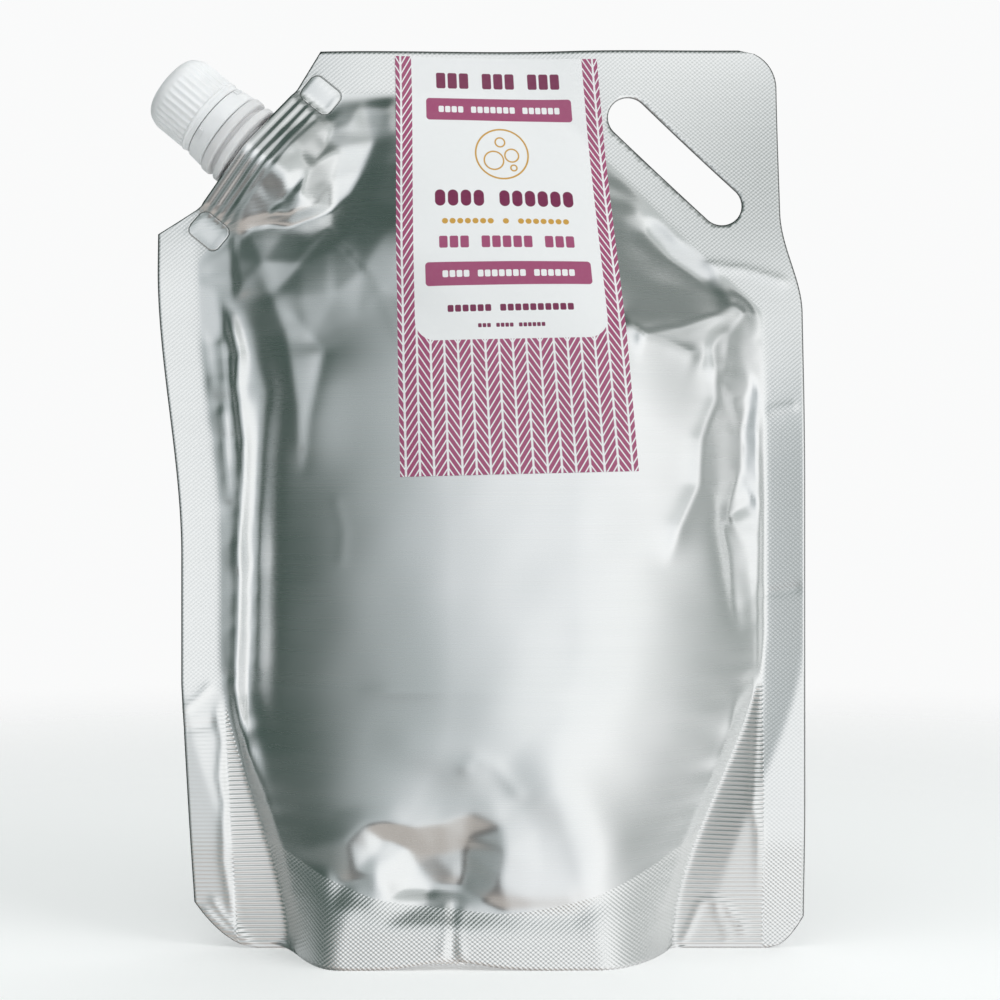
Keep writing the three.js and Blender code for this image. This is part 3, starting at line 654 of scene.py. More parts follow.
def sleeve_depth(x, z):
    out, along = spout_place(x, z)
    below = clamp((-out - BOAT_DEPTH - 1.1) / SLEEVE_TAIL)
    share = mix(1, SLEEVE_END, below) * (1 - ramp((-out - 21) / 9))
    ends = 1 - ramp((np.abs(along) - BOAT_HALF_LENGTH) / 1.2)
    ribbed = ramp((out + 9.9) / 0.8) * ramp((-out - 0.5) / 0.8)
    jaw_ribs = JAW_RIB["height"] * np.cos(2 * math.pi * (out + 1.0) / JAW_RIB["pitch"]) * ribbed
    return ((boat_half(along, 1.1) + WRAP) * share + jaw_ribs) * ends


print("film half depth over the boat:", float(sleeve_depth(*(SPOUT_FOOT - OUT * 3))))

# %% Both faces of the film
# leans: how far back, from which x, over what width, and from which z
LEAN_BACK = (8, -48, 70, 150)
CORNER_CURL = (6, 25, 60, 185)
# curls: how far forward, how sharply, below which z, and over what height
LEFT_CURL = (1.7, 1.2, 215, 30)
RIGHT_CURL = (3.0, 1.1, 180, 50)
CURL_STANDS = 40  # the curls rise from nothing at the floor to full at this height
FOLD_START = 5  # folds reach their full height this far in from a weld
STRIP_LOOSE = 1  # beside the left weld the film is loose from a little outside the weld
CROWN = {"x": 8, "width": 30, "fades": 60, "top": 210}


def leaning(x, z, back, from_x, over_x, from_z):
    return back * ramp((x - from_x) / over_x) * ramp((z - from_z) / (HEIGHT - from_z))


def curling(inside, z, forward, power, below_z, over_z):
    return forward * clamp(-inside / SIDE_SEAL) ** power * ramp((below_z - z) / over_z)


def middle_surface(x, z):
    """The empty top leans back, its handle corner curls back more, and the side seals curl forward."""
    left, right, *_ = weld_distances(x, z)
    curls = curling(left, z, *LEFT_CURL) + curling(right, z, *RIGHT_CURL)
    return leaning(x, z, *LEAN_BACK) + leaning(x, z, *CORNER_CURL) - ramp(z / CURL_STANDS) * curls


def waviness(seed, amplitude, longest):
    """Gentle swells of a few centimetres, as no filled film is quite even."""
    random = np.random.default_rng(seed)
    field = np.zeros_like(X)
    for _ in range(14):
        angle = random.uniform(0, math.pi)
        length = random.uniform(0.45, 1) * longest
        along_wave = (X * math.cos(angle) + Z * math.sin(angle)) / length
        field += np.sin(2 * math.pi * along_wave + random.uniform(0, 2 * math.pi))
    return field * amplitude / 3.7


def puckers(seed, distance, amplitude):
    """Short creases that run in from a weld and die out."""
    random = np.random.default_rng(seed)
    field = np.zeros_like(X)
    for _ in range(16):
        pitch = random.uniform(4, 13)
        slant = random.uniform(-0.5, 0.5)
        field += np.sin(2 * math.pi * (Z + slant * X) / pitch + random.uniform(0, 6.3))
    return amplitude * field / 4 * np.exp(-np.maximum(distance, 0) / 7)


def face_depth(rolls, creases, seed, crowned):
    bag = bag_depth(X, Z)
    left, right, top, slot, spout = weld_distances(X, Z)
    loose = ramp(np.minimum.reduce([left + STRIP_LOOSE, right, top, slot, spout]) / FOLD_START)
    relief = sum(soft_fold(X, Z, *fold) for fold in rolls) + sum(crease(X, Z, *fold) for fold in creases)
    relief = relief + waviness(seed, 0.3, 90) + waviness(seed + 1, 0.05, 34)
    relief = relief + puckers(seed + 2, np.minimum(left, right), 0.3)
    relief = relief + puckers(seed + 3, np.minimum(slot, top), 0.35)
    crown = crowned * np.exp(-(((X - CROWN["x"]) / CROWN["width"]) ** 2))
    crown = crown * ramp((CROWN["top"] - Z) / CROWN["fades"]) * ramp(Z / CROWN["fades"])
    filled = np.maximum(0, bag + loose * (relief + crown))
    return PAIR / 2 + np.maximum(filled, sleeve_depth(X, Z))


front_plan = blurred(middle_surface(X, Z) - face_depth(FRONT_ROLLS, FRONT_CREASES, 11, 1.7), 0.4)
back_plan = blurred(middle_surface(X, Z) + face_depth(BACK_ROLLS, BACK_CREASES, 51, 0.2), 0.4)
print("film from", front_plan.min().round(1), "to", back_plan.max().round(1), "mm front to back")

# %% [markdown]
# ## Crumples
# Under the spout the film falls into a hollow with a curled lip, and above the skirt it has slumped
# into a sharp zigzag. Soft rolls can't show that, so the places of the corners are listed, and flat
# triangles between them make the facets. Corners of the hollow carry their own depth from the middle
# plane, and those of the slump carry how far they lie off the film there.

# %% Nets of the two crumples
HOLLOW = [
    (-57.3, 218.7, -10.2), (-53.4, 214.3, -10.6), (-49.8, 209.8, -10.8), (-52.4, 210.6, -9.8),
    (-55.3, 209.1, -8.6), (-57.6, 206.3, -7.4), (-60.6, 204, -6), (-56.9, 204.4, -8.8),
    (-52.5, 203.5, -9.2), (-48.6, 205.4, -9.6), (-45.6, 206.2, -9.4), (-44.9, 209.2, -8.2),
    (-49.8, 221.9, -8.2), (-45.8, 227.5, -4.6), (-44.5, 219.5, -6.2), (-45.5, 213.7, -7.4),
    (-47.6, 216.8, -8.8), (-63.1, 210.9, -7.6), (-65.6, 206.9, -6.2), (-67.1, 202.8, -4.6),
    (-60.2, 213, -8.6), (-64.4, 200.1, -3.2), (-61, 201.7, -3.2), (-57.1, 202.8, -3),
    (-52.6, 202.2, -3.4), (-47, 204.1, -3.8), (-41.4, 206.3, -3.8), (-36.4, 210.5, -3.6),
    (-33.1, 216.7, -3.2), (-29.8, 225.2, -2.2), (-26, 235, -0.6), (-39.2, 222.7, -3.6),
    (-41.3, 214.2, -4.4), (-36.5, 230, -2), (-68.4, 191.6, -2.8), (-66.7, 184.9, -3.6),
    (-60.4, 191.1, -6.2), (-56.4, 183, -7.4), (-49.7, 190.8, -8.2), (-41.4, 194.1, -9.4),
    (-35.4, 200.2, -9.2), (-29.9, 207.9, -7.8), (-26.2, 217.9, -5.6), (-24.7, 226.7, -2.8),
    (-49.2, 181, -10.2), (-39.5, 181.9, -12.6), (-32.2, 188.4, -13), (-26.8, 197.6, -13.4),
]
HOLLOW_RIM = [
    (-42.4, 233), (-67.9, 197.5), (-69, 180.9), (-60.7, 171.2), (-47.4, 168.4), (-33.5, 175.3),
    (-22.4, 189.2), (-19.7, 204.4), (-20.2, 219.7), (-21.9, 233), (-24.6, 237.4), (-33.5, 236.3),
    (-55.7, 228.6), (-64, 219.7), (-70.1, 207.2), (-60.7, 223.6),
]
SLUMP = [
    (-50.3, 29.1, 0), (-42, 32.8, -0.2), (-35.7, 34.4, -0.4), (-30.9, 38.7, -0.6), (-25.6, 39.7, -0.6),
    (-18.6, 38.4, -0.4), (-10.7, 39.2, -0.2), (-2.7, 42.1, -0.2), (3.4, 44.5, -0.4), (-41, 26.4, 1.6),
    (-33, 25.7, 2.2), (-28.7, 30.7, 2.6), (-26.4, 34.2, 2.8), (-23.7, 34.4, 2.8), (-19.4, 32, 3.4),
    (-12.8, 30.7, 3.8), (-8.5, 30.7, 3.6), (-3.7, 35, 2.2), (-17.6, 27.2, 5), (-13.6, 20.3, 5.6),
    (-20, 20.9, 4.2), (-26.1, 23.8, 1.8), (-27.7, 25.9, 1.6), (-6.7, 24.6, 4.2), (-6.1, 29.1, 3.6),
    (-10.7, 20.9, 5.6), (-25, 18.5, 0.8), (-14.1, 17.1, 2.8), (-37, 21.7, 3.2), (-32.2, 23.8, 2.8),
    (-28.5, 20.1, 1), (-49.8, 26.4, 0.6), (-41, 21.1, 0.8), (-29, 16.9, 0.2), (-10.1, 15.8, 2),
    (-6.1, 17.9, 3.6), (-2.1, 15.8, 1.4), (7.4, 14.2, 0.3), (-4, 31.8, 3.3), (-4.5, 25.4, 4.3),
    (-5.6, 20.9, 5.2), (5.6, 38.7, -0.2), (6.4, 32.3, -0.5), (5, 24.3, -0.3), (0.8, 17.9, 1.6),
]
SLUMP_RIM = [
    (-52.2, 32.3), (-47.9, 37.1), (-39.9, 41.3), (-31.9, 44.5), (-21.3, 45.6), (-10.7, 45.1),
    (-2.7, 48.3), (3.4, 49.3), (9.3, 46.7), (15.1, 37.6), (16.7, 27), (14.3, 17.7),
    (8, 10.5), (-2.7, 9.4), (-13.3, 11), (-26.6, 11.6), (-39.9, 15.8), (-50.6, 23.3),
    (-53.8, 28.6),
]
front_plan = facets(front_plan, off_plan(front_plan, HOLLOW), HOLLOW_RIM)
front_plan = facets(front_plan, SLUMP, SLUMP_RIM, 0.75)


PAD = {"along": 24.6, "half_wide": 1.9, "out": -6.0, "half_high": 3.0, "corner": 2.2}
PAD_HEIGHT = 0.35


def pad_distance(x, z):
    """How far inside the two square pads that the jaws press beyond the boat's ends."""
    out, along = spout_place(x, z)
    side = np.maximum(np.abs(np.abs(along) - PAD["along"]) - PAD["half_wide"], 0)
    rise = np.maximum(np.abs(out - PAD["out"]) - PAD["half_high"], 0)
    return PAD["corner"] - np.hypot(side, rise)


WELD_CREASES = [
    (
        0.7, 0.7,
        [(-72.5, 72), (-73.9, 66), (-72.3, 58), (-73, 48), (-71.6, 41), (-71.9, 25), (-70, 13), (-69.6, 4)],
    ),
    (0.5, 0.6, [(-84, 66), (-79, 70), (-75, 74.4)]),
    (-0.5, 0.8, [(-84, 61), (-74, 63)]),
    (0.6, 0.9, [(-78.7, 12), (-71.7, 5.4), (-63.3, 1)]),
    (0.5, 0.7, [(-76, 15), (-72, 9), (-66, 3)]),
    (
        0.6, 0.6,
        [(77.6, 159), (77.2, 140), (77.8, 125), (77, 100), (77.6, 72), (75.6, 41), (77.2, 33), (77.4, 12)],
    ),
    (0.5, 0.7, [(55, -1), (58.5, 6), (61.3, 12.6), (64.7, 14), (68.3, 12), (72.5, 6.4), (76, 2)]),
    (0.4, 0.6, [(64.7, 14), (68, 6), (70, 1)]),
    (0.4, 0.8, [(79, 150), (89, 152)]),
    (-0.4, 0.8, [(78, 99), (90, 101)]),
    (0.5, 0.8, [(61, 192), (75, 190), (88, 186)]),
    (0.5, 0.7, [(-9.6, 17), (-8.4, 10), (-10.2, 0)]),
    (0.5, 0.7, [(-4.4, 16), (-6.2, 9), (-4.6, 0)]),
    (-0.8, 1.2, [(-7, 18), (-7.2, 10), (-7.4, -3)]),
]
in_weld = sum(crease(X, Z, *fold, blunt=0.35) for fold in WELD_CREASES)
pads = PAD_HEIGHT * ramp(pad_distance(X, Z))
front_plan = front_plan - in_weld - pads
back_plan = back_plan - in_weld + pads
print("crumples of", len(HOLLOW), "and", len(SLUMP), "corners")

# %% [markdown]
# ## The film as a mesh
# A grid of about one-millimetre cells is laid out flat inside the outline, the slot's cells are taken
# out, and Solidify's operator gives it a front, a back and a rim. Each point then moves to the depth
# of its own face. One sheet of cells keeps the faces in step, which loose patches would not.

# %% Rows and columns
ACROSS = 176
TOP_RISE = {"by": 3.6, "x": -45, "over": WIDTH / 2 + 30, "z": 190}
SKIRT_PINCH = {"lift": 2.5, "x": -8, "width": 12, "height": 25}
# the rows end at these heights, with this many cells up to each
STRETCHES = [(22, 22), (CHIN, 172), (EDGE_LOW[1], 8), (EDGE_TOP[1], 32), (HEIGHT, 11)]
rows = [0.0]
for upper, cells in STRETCHES:
    rows.extend(np.linspace(rows[-1], upper, cells + 1)[1:])
ROWS = np.array(rows)
UP = len(ROWS) - 1


def height_at(x, row):
    """The top edge climbs to the right, and the skirt's edge lifts at its pinch."""
    risen = ramp((row - TOP_RISE["z"]) / (HEIGHT - TOP_RISE["z"]))
    climb = TOP_RISE["by"] * (x - TOP_RISE["x"]) / TOP_RISE["over"] * risen
    pinch = np.exp(-(((x - SKIRT_PINCH["x"]) / SKIRT_PINCH["width"]) ** 2))
    return row + climb + SKIRT_PINCH["lift"] * pinch * (1 - clamp(row / SKIRT_PINCH["height"]))


def row_at(x, z):
    row = np.array(z, float)
    for _ in range(4):
        row = row - (height_at(x, row) - z)
    return row


print(ACROSS, "columns,", UP, "rows")

# %% Flat sheet with its slot
CROWDING = 0.03  # how much the columns crowd towards the seals
SLOT_CORE = SLOT_LENGTH / 2 - SLOT_WIDTH / 2  # half the slot's straight stretch
SNAP_REACH = 3


def column_share(i):
    t = i / ACROSS
    return t - CROWDING * np.sin(2 * math.pi * t)


def stadium_distance(x, z):
    along, square = slot_place(x, z)
    return np.hypot(np.maximum(np.abs(along) - SLOT_CORE, 0), square) - SLOT_WIDTH / 2


def flat_sheet():
    """A grid in the film's plan: X across, Z is the row, with the slot cut out."""
    bm = bmesh.new()
    bmesh.ops.create_grid(bm, x_segments=ACROSS, y_segments=UP, size=0.5)
    for v in bm.verts:
        row = ROWS[round((v.co.y + 0.5) * UP)]
        share = column_share(round((v.co.x + 0.5) * ACROSS))
        v.co = (mix(left_edge(row), right_edge(row), share), 0, row)
    inside = []
    for face in bm.faces:
        x, _, row = face.calc_center_median()
        if stadium_distance(x, height_at(x, row)) < 0:
            inside.append(face)
    bmesh.ops.delete(bm, geom=inside, context="FACES")
    snap_slot(bm)
    return bm


def snap_slot(bm):
    """Moves the cut's stepped edge on to the stadium."""
    for v in bm.verts:
        x, _, row = v.co
        z = float(height_at(x, row))
        if v.is_boundary and abs(stadium_distance(x, z)) < SNAP_REACH:
            along, square = slot_place(x, z)
            core = max(-SLOT_CORE, min(SLOT_CORE, along))
            arm = Vector((along - core, square)).normalized() * SLOT_WIDTH / 2
            along, square = core + arm.x, arm.y
            x = SLOT_CENTRE[0] + along * math.cos(SLOT_ANGLE) - square * math.sin(SLOT_ANGLE)
            z = SLOT_CENTRE[1] + along * math.sin(SLOT_ANGLE) + square * math.cos(SLOT_ANGLE)
            v.co = (x, 0, float(row_at(x, z)))


sheet = flat_sheet()
print("flat sheet:", len(sheet.faces), "cells")

# %% Front, back and rim


def stand_up(bm):
    """Gives the sheet two faces and moves each point to its face's depth."""
    bmesh.ops.solidify(bm, geom=bm.faces[:], thickness=0.2)
    places = np.array([v.co for v in bm.verts])
    x, side, row = places.T
    middle = (side.min() + side.max()) / 2
    front = side < middle
    y = np.where(front, sample(front_plan, x, row), sample(back_plan, x, row))
    z = height_at(x, row)
    on_front = bm.verts.layers.int.new("on_front")
    sheet_row = bm.verts.layers.float.new("sheet_row")
    for v, place, is_front, r in zip(bm.verts, np.column_stack([x, y, z]), front, row):
        v.co = place
        v[on_front] = int(is_front)
        v[sheet_row] = r
    return on_front, sheet_row


on_front, sheet_row = stand_up(sheet)
sheet.normal_update()
front_faces = [f for f in sheet.faces if all(v[on_front] for v in f.verts)]
facing = sum(f.normal.y for f in front_faces)
if facing > 0:
    bmesh.ops.reverse_faces(sheet, faces=sheet.faces[:])
print("front faces look towards", "-Y" if facing < 0 else "+Y, turned round")

# %% [markdown]
# ## Gusset
# Underneath, the two sheets stay apart: the skirt stands on the floor, and the gusset is folded up
# inside it and bulges down to a flat pad. The open bottom edge is extruded inwards ring by ring.

# %% Gusset rings
GUSSET_OPEN = 14  # half the depth at which the gusset has risen fully
# each ring's share of the footprint, how high it stands, and how much of the pinch it keeps
GUSSET_RINGS = [
    (0.985, 0.0, 0.9),
    (0.97, 0.4, 0.7),
    (0.945, 2.2, 0.5),
    (0.91, 4.2, 0.35),
    (0.88, 5.0, 0.25),
    (0.85, 4.2, 0.15),
    (0.81, 1.8, 0.05),
    (0.78, 0.4, 0.0),
    (0.76, 0.0, 0.0),
]


def is_bottom(face):
    return all(v[sheet_row] < 1e-4 for v in face.verts)


def fold_gusset(bm):
    bmesh.ops.delete(bm, geom=[f for f in bm.faces if is_bottom(f)], context="FACES_ONLY")
    wires = [e for e in bm.edges if not e.link_faces]
    bmesh.ops.delete(bm, geom=wires, context="EDGES")
    ring = [e for e in bm.edges if e.is_boundary]
    loop = {v for e in ring for v in e.verts}
    centre = (min(v.co.x for v in loop) + max(v.co.x for v in loop)) / 2
    foot = {v: v.co.copy() for v in loop}
    for share, lift, pinched in GUSSET_RINGS:
        made = bmesh.ops.extrude_edge_only(bm, edges=ring)["geom"]
        ring = [e for e in made if isinstance(e, bmesh.types.BMEdge)]
        moved = {}
        for e in ring:
            for v in e.verts:
                near = [edge.other_vert(v) for edge in v.link_edges if edge.other_vert(v) in foot]
                moved[v] = foot[near[0]]
        for v, start in moved.items():
            apart = float(ramp(abs(start.y) / GUSSET_OPEN))
            v.co = (mix(centre, start.x, share), start.y * share, start.z * pinched + lift * apart)
        foot = moved
    bmesh.ops.contextual_create(bm, geom=ring)
    return len(moved)


count = fold_gusset(sheet)
print("gusset ring of", count, "points")

# %% Open the film at the spout


def open_sleeve(bm):
    """The rim of the slanted edge becomes a pocket that takes the boat."""
    def on_slant(v):
        out, along = spout_place(v.co.x, v.co.z)
        return abs(out) < 0.35 and abs(along) < 20.6

    rim = [f for f in bm.faces if len(f.verts) == 4 and all(on_slant(v) for v in f.verts)]
    bmesh.ops.delete(bm, geom=rim, context="FACES_ONLY")
    bmesh.ops.delete(bm, geom=[e for e in bm.edges if not e.link_faces], context="EDGES")
    ring = [e for e in bm.edges if e.is_boundary]
    for inward, out in ((0.45, 0.0), (0.45, -BOAT_DEPTH - 0.35)):
        made = bmesh.ops.extrude_edge_only(bm, edges=ring)["geom"]
        ring = [e for e in made if isinstance(e, bmesh.types.BMEdge)]
        for v in {v for e in ring for v in e.verts}:
            if out == 0.0:
                v.co.y -= math.copysign(min(inward, abs(v.co.y) * 0.7), v.co.y)
            else:
                v.co.x += OUT[0] * out
                v.co.z += OUT[1] * out
    bmesh.ops.contextual_create(bm, geom=ring)
    return len(rim)


print("sleeve opened through", open_sleeve(sheet), "rim faces")

# %% Film object


def to_object(bm, name, finish, smooth_angle=None):
    """Writes the mesh in metres and gives it a finish."""
    for v in bm.verts:
        v.co *= MM
    mesh = bpy.data.meshes.new(name)
    bm.to_mesh(mesh)
    bm.free()
    piece = bpy.data.objects.new(name, mesh)
    bpy.context.scene.collection.objects.link(piece)
    mesh.materials.append(finish.material)
    mesh.shade_smooth()
    if smooth_angle:
        mesh.set_sharp_from_angle(angle=math.radians(smooth_angle))
    triangles = sum(len(p.vertices) - 2 for p in mesh.polygons)
    print(name, "has", triangles, "triangles")
    return piece


# %% [markdown]
# ## Foil finish
# Aluminised film is a metal mirror behind a thin clear skin, slightly hazy, with the fine lines of
# its rolling. Where the sheets are welded, the jaws press a small raised pattern into it, which
# scatters the light to a paler, duller grey. The weld is an attribute of the mesh, worked out from
# the outline, so the pattern ends exactly where the weld does.

# %% Foil
KNURL_ACROSS = 1.35 * MM
KNURL_UP = 1.15 * MM
STRIP_RIBS = 1.25 * MM


def wave(coordinate, pitch):
    return (coordinate * (2 * math.pi / pitch)).math("SINE")


def foil_finish():
    foil = Finish("foil", metallic=1.0)
    place = foil.object_place()
    weld = foil.attribute("weld_mm").ramp(-0.35, 0.35)
    strip = foil.attribute("strip_mm").ramp(-0.3, 0.3)
    pad = foil.attribute("pad_mm")
    inside_pad = pad.ramp(-0.1, 0.2)
    # each pad's pressed outline: a groove in the bump below, and a line of painted shade in the colour
    shaded_pad_groove = 1 - abs(pad).ramp(0.05, 0.3)
    cut_edge = 1 - foil.attribute("edge_mm").ramp(0.15, 0.45)
    lines = foil.noise(foil.stretched(place, (6, 6, 900)), 1.0, detail=3.0)
    cloud = foil.noise(place, 18.0, detail=3.0)
    tone = foil.tint(cloud.ramp(0.3, 0.7), (0.80, 0.815, 0.81), (0.865, 0.87, 0.87))
    tone = foil.tint(weld, tone, (0.93, 0.935, 0.93))
    # painted shade: a dark grey line along each pad's pressed outline, where its groove would lie in shade
    tone = foil.tint(shaded_pad_groove * 0.6, tone, (0.22, 0.22, 0.22))
    foil.set("Base Color", foil.tint(cut_edge * 0.8, tone, (0.20, 0.20, 0.20)))
    pressed = weld * (1 - inside_pad)
    foil.set("Roughness", 0.235 + lines * 0.05 + pressed * 0.13 + cloud * 0.03)
    x, y, z = foil.split(place)
    across = wave(x, KNURL_ACROSS)
    upward = wave(z, KNURL_UP)
    low_left = (x * -1).ramp(0.068, 0.07) * (1 - z.ramp(0.070, 0.074))
    dots = upward * (across * (1 - low_left) + low_left)
    ribs = wave(z, STRIP_RIBS) * strip
    streaks = foil.bump(lines, 0.00002, 0.45)
    on_skirt = 1 - z.ramp(0.026, 0.034)
    height = dots * pressed * (1 - strip) * (on_skirt * 0.5 + 0.3) + ribs * 1.4 - shaded_pad_groove * 1.2
    foil.bump(height, 0.00012, 0.7, under=streaks)
    return foil


foil = foil_finish()
film = to_object(sheet, "pouch_film", foil)

# %% Where the film is welded
SKIRT_WELD = {"middle": 14.5, "climb": 15, "over": 54, "power": 1.9}
STRIP_TOP = 74
FAR_INSIDE = 5  # marks stop counting this far from a weld's edge


def skirt_line(x):
    """Height of the skirt's weld: low in the middle and climbing to both sides."""
    share = (np.abs(x) / SKIRT_WELD["over"]) ** SKIRT_WELD["power"]
    return SKIRT_WELD["middle"] + SKIRT_WELD["climb"] * share


def weld_marks(x, row):
    """Signed distances (mm) into the welds, the ribbed strips beside the foot, and the pads."""
    left, right, top, slot, spout = weld_distances(x, row)
    nearest = np.minimum.reduce([left, right, top, slot, spout])
    over_boat = np.minimum(20.5 - np.abs(spout_place(x, row)[1]), 10.2 + spout_place(x, row)[0])
    standing = np.minimum(left, right)
    skirt = np.where(standing > 0, skirt_line(x) - row, -FAR_INSIDE)
    weld = np.minimum(np.maximum(-nearest, skirt), -over_boat)
    right_side = right_edge(np.maximum(row, RIGHT_FOOT["height"]))
    from_edge = np.minimum(x + WIDTH / 2 - left_pull(row), right_side - x)
    strip = np.minimum(np.minimum(from_edge - SIDE_SEAL - 0.6, -standing), STRIP_TOP - row)
    return {"weld_mm": weld, "strip_mm": strip, "pad_mm": pad_distance(x, row)}


def mark_welds(piece):
    mesh = piece.data
    places = np.empty(len(mesh.vertices) * 3)
    mesh.vertices.foreach_get("co", places)
    x, _, z = places.reshape(-1, 3).T / MM
    row = row_at(x, z)
    marks = weld_marks(x, row)
    edge = np.minimum.reduce([x - left_edge(row), right_edge(row) - x, HEIGHT - row])
    marks["edge_mm"] = np.minimum(edge, stadium_distance(x, z))
    for name, values in marks.items():
        layer = mesh.attributes.new(name, "FLOAT", "POINT")
        layer.data.foreach_set("value", np.clip(values, -FAR_INSIDE, FAR_INSIDE).astype(np.float32))
    print("welded share of the film's points:", round(float((marks["weld_mm"] > 0).mean()), 2))


mark_welds(film)
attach(film, "pack")
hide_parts("pouch")

# %% [markdown]
# ## Printed panel
# The panel is a thin sheet on the front film and follows each of its folds, so its points take the
# film's own depth. Its print is drawn in millimetres from the sheet's UV map: a pale panel with
# rounded lower corners on a ground of plum chevrons, rows of small blocks where a real pack has
# words, two filled bars, and a circle with small bubbles in it.

# %% Print helpers
PANEL_TOP = HEIGHT - 0.8
PANEL_HEIGHT = 118.6
PANEL_WIDE = 60.6


class Print(Finish):
    """A finish with masks drawn in millimetres: u from the middle line, v down from the top."""

    def start(self):
        u, v, _ = self.split(self.uv_place())
        self.u = (u - 0.5) * PANEL_WIDE
        self.v = (1 - v) * PANEL_HEIGHT
        return self

    def rounded(self, u, v, half_u, half_v, corner, soft=0.12):
        du = (abs(u) - (half_u - corner)).at_least(0.0)
        dv = (abs(v) - (half_v - corner)).at_least(0.0)
        reach = (du * du + dv * dv).math("SQRT")
        return ((corner - reach) / soft + 0.5).clamp()

    def bar(self, middle_u, middle_v, half_u, half_v, corner):
        return self.rounded(self.u - middle_u, self.v - middle_v, half_u, half_v, corner)

    def row(self, middle_v, half_v, pitch, words, corner=0.3):
        """Words seen from far away: groups of small rounded blocks, each group from block to block."""
        gap = pitch * 0.2
        each = self.u.math("WRAP", pitch / 2, -pitch / 2)
        half = (pitch - gap) / 2
        blocks = self.rounded(each, self.v - middle_v, half, half_v, min(half, half_v) * corner * 2)
        groups = None
        for first, last in words:
            centre, reach = (first + last) / 2 * pitch, (last - first + 1) / 2 * pitch
            group = ((reach - abs(self.u - centre)) / 0.1 + 0.5).clamp()
            groups = group if groups is None else groups + group
        return blocks * groups

    def disc(self, middle_u, middle_v, radius, soft=0.12):
        du, dv = self.u - middle_u, self.v - middle_v
        return ((radius - (du * du + dv * dv).math("SQRT")) / soft + 0.5).clamp()

    def ring(self, middle_u, middle_v, radius, thick):
        return self.disc(middle_u, middle_v, radius) - self.disc(middle_u, middle_v, radius - thick)


print("print helpers ready")

# %% Print finish
PLUM = (0.34, 0.060, 0.155)
DARK_PLUM = (0.17, 0.006, 0.060)
GOLD = (0.58, 0.32, 0.045)
PANEL_WHITE = (0.84, 0.845, 0.85)


def print_finish():
    ink = Print("label_print").start()
    column = 7.2
    fold = ink.u.math("PINGPONG", column / 2)
    slope = (ink.v + fold * 1.6).math("WRAP", 1.3, -1.3)
    veins = 1 - (abs(slope) - 0.32).ramp(-0.1, 0.1)
    spine = 1 - (abs(fold - column / 4) - (column / 4 - 0.28)).ramp(-0.12, 0.12)
    chevrons = ink.tint(veins.at_least(1 - spine), PLUM, PANEL_WHITE)
    window = ink.bar(0, 30, 25.6, 52, 5.5)
    colour = ink.tint(window, chevrons, PANEL_WHITE)
    for middle_v, half_v, pitch, words, corner, tone in [
        (6.6, 2.2, 3.4, [(-5, -3), (-1, 1), (3, 5)], 0.2, DARK_PLUM),
        (42.0, 2.4, 3.6, [(-5, -2), (0, 5)], 0.5, DARK_PLUM),
        (48.8, 0.8, 2.1, [(-8, -2), (0, 0), (2, 8)], 0.5, GOLD),
        (54.8, 1.7, 2.9, [(-6, -4), (-2, 2), (4, 6)], 0.2, PLUM),
        (73.4, 0.95, 2.0, [(-8, -3), (-1, 8)], 0.25, DARK_PLUM),
        (78.2, 0.55, 1.2, [(-7, -5), (-3, 0), (2, 7)], 0.25, DARK_PLUM),
    ]:
        colour = ink.tint(ink.row(middle_v, half_v, pitch, words, corner), colour, tone)
    for middle_v, half_u in ((15.0, 21.5), (63.8, 22.5)):
        colour = ink.tint(ink.bar(0, middle_v, half_u, 3.3, 1.0), colour, PLUM)
        inner = ink.row(middle_v, 0.95, 1.9, [(-9, -6), (-4, 2), (4, 9)], 0.25)
        colour = ink.tint(inner, colour, PANEL_WHITE)
    emblem = ink.ring(0, 28.5, 7.8, 0.5)
    for du, dv, radius in ((-2.4, 2.0, 3.0), (2.8, 0.4, 2.2), (-0.4, -3.6, 1.6), (3.2, 4.2, 1.1)):
        emblem = emblem.at_least(ink.ring(du, 28.5 + dv, radius, 0.45))
    colour = ink.tint(emblem, colour, GOLD)
    grain = ink.noise(ink.object_place(), 700.0)
    ink.set("Base Color", ink.tint(grain * 0.06, colour, (0.5, 0.5, 0.5)))
    ink.set("Roughness", 0.38 + grain * 0.08)
    ink.bump(grain, 0.00002, 0.4)
    ink.set("Coat Weight", 0.25)
    ink.set("Coat Roughness", 0.25)
    return ink


label_print = print_finish()
print("print finish ready")

# %% Label sheet
LABEL_CORNERS = {"top": (-24.2, 32.8), "bottom": (-21.5, 42.7)}
LABEL_GAP = 0.22
LABEL_THICK = 0.14
LABEL_CLIMB = (0.6, 1.6)  # how much its top and bottom edges climb to the right


def label_sheet():
    bm = bmesh.new()
    bmesh.ops.create_grid(bm, x_segments=58, y_segments=118, size=0.5)
    uv = bm.loops.layers.uv.new("panel")
    for face in bm.faces:
        for loop in face.loops:
            loop[uv].uv = (loop.vert.co.x + 0.5, loop.vert.co.y + 0.5)
    for v in bm.verts:
        across, down = v.co.x + 0.5, 0.5 - v.co.y
        x = mix(mix(*LABEL_CORNERS["top"], across), mix(*LABEL_CORNERS["bottom"], across), down)
        climb = mix(*LABEL_CLIMB, down) * across
        z = PANEL_TOP - PANEL_HEIGHT * down + climb
        row = row_at(x, z)
        v.co = (x, float(sample(front_plan, np.array(x), row)) - LABEL_GAP, z)
    bm.normal_update()
    if sum(f.normal.y for f in bm.faces) > 0:
        bmesh.ops.reverse_faces(bm, faces=bm.faces[:])
    bmesh.ops.solidify(bm, geom=bm.faces[:], thickness=-LABEL_THICK)
    return bm


label = to_object(label_sheet(), "label_sheet", label_print, 40)
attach(label, "pack")
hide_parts("front_label")

# %% [markdown]
# ## Turned plastics
# The spout, its tamper band and the cap are all moulded round one axis, which leaves the corner up
# and to the left. Each is drawn as half a section standing on the film's slanted edge, spun a full
# turn, and then tilted into place together with its neighbours.

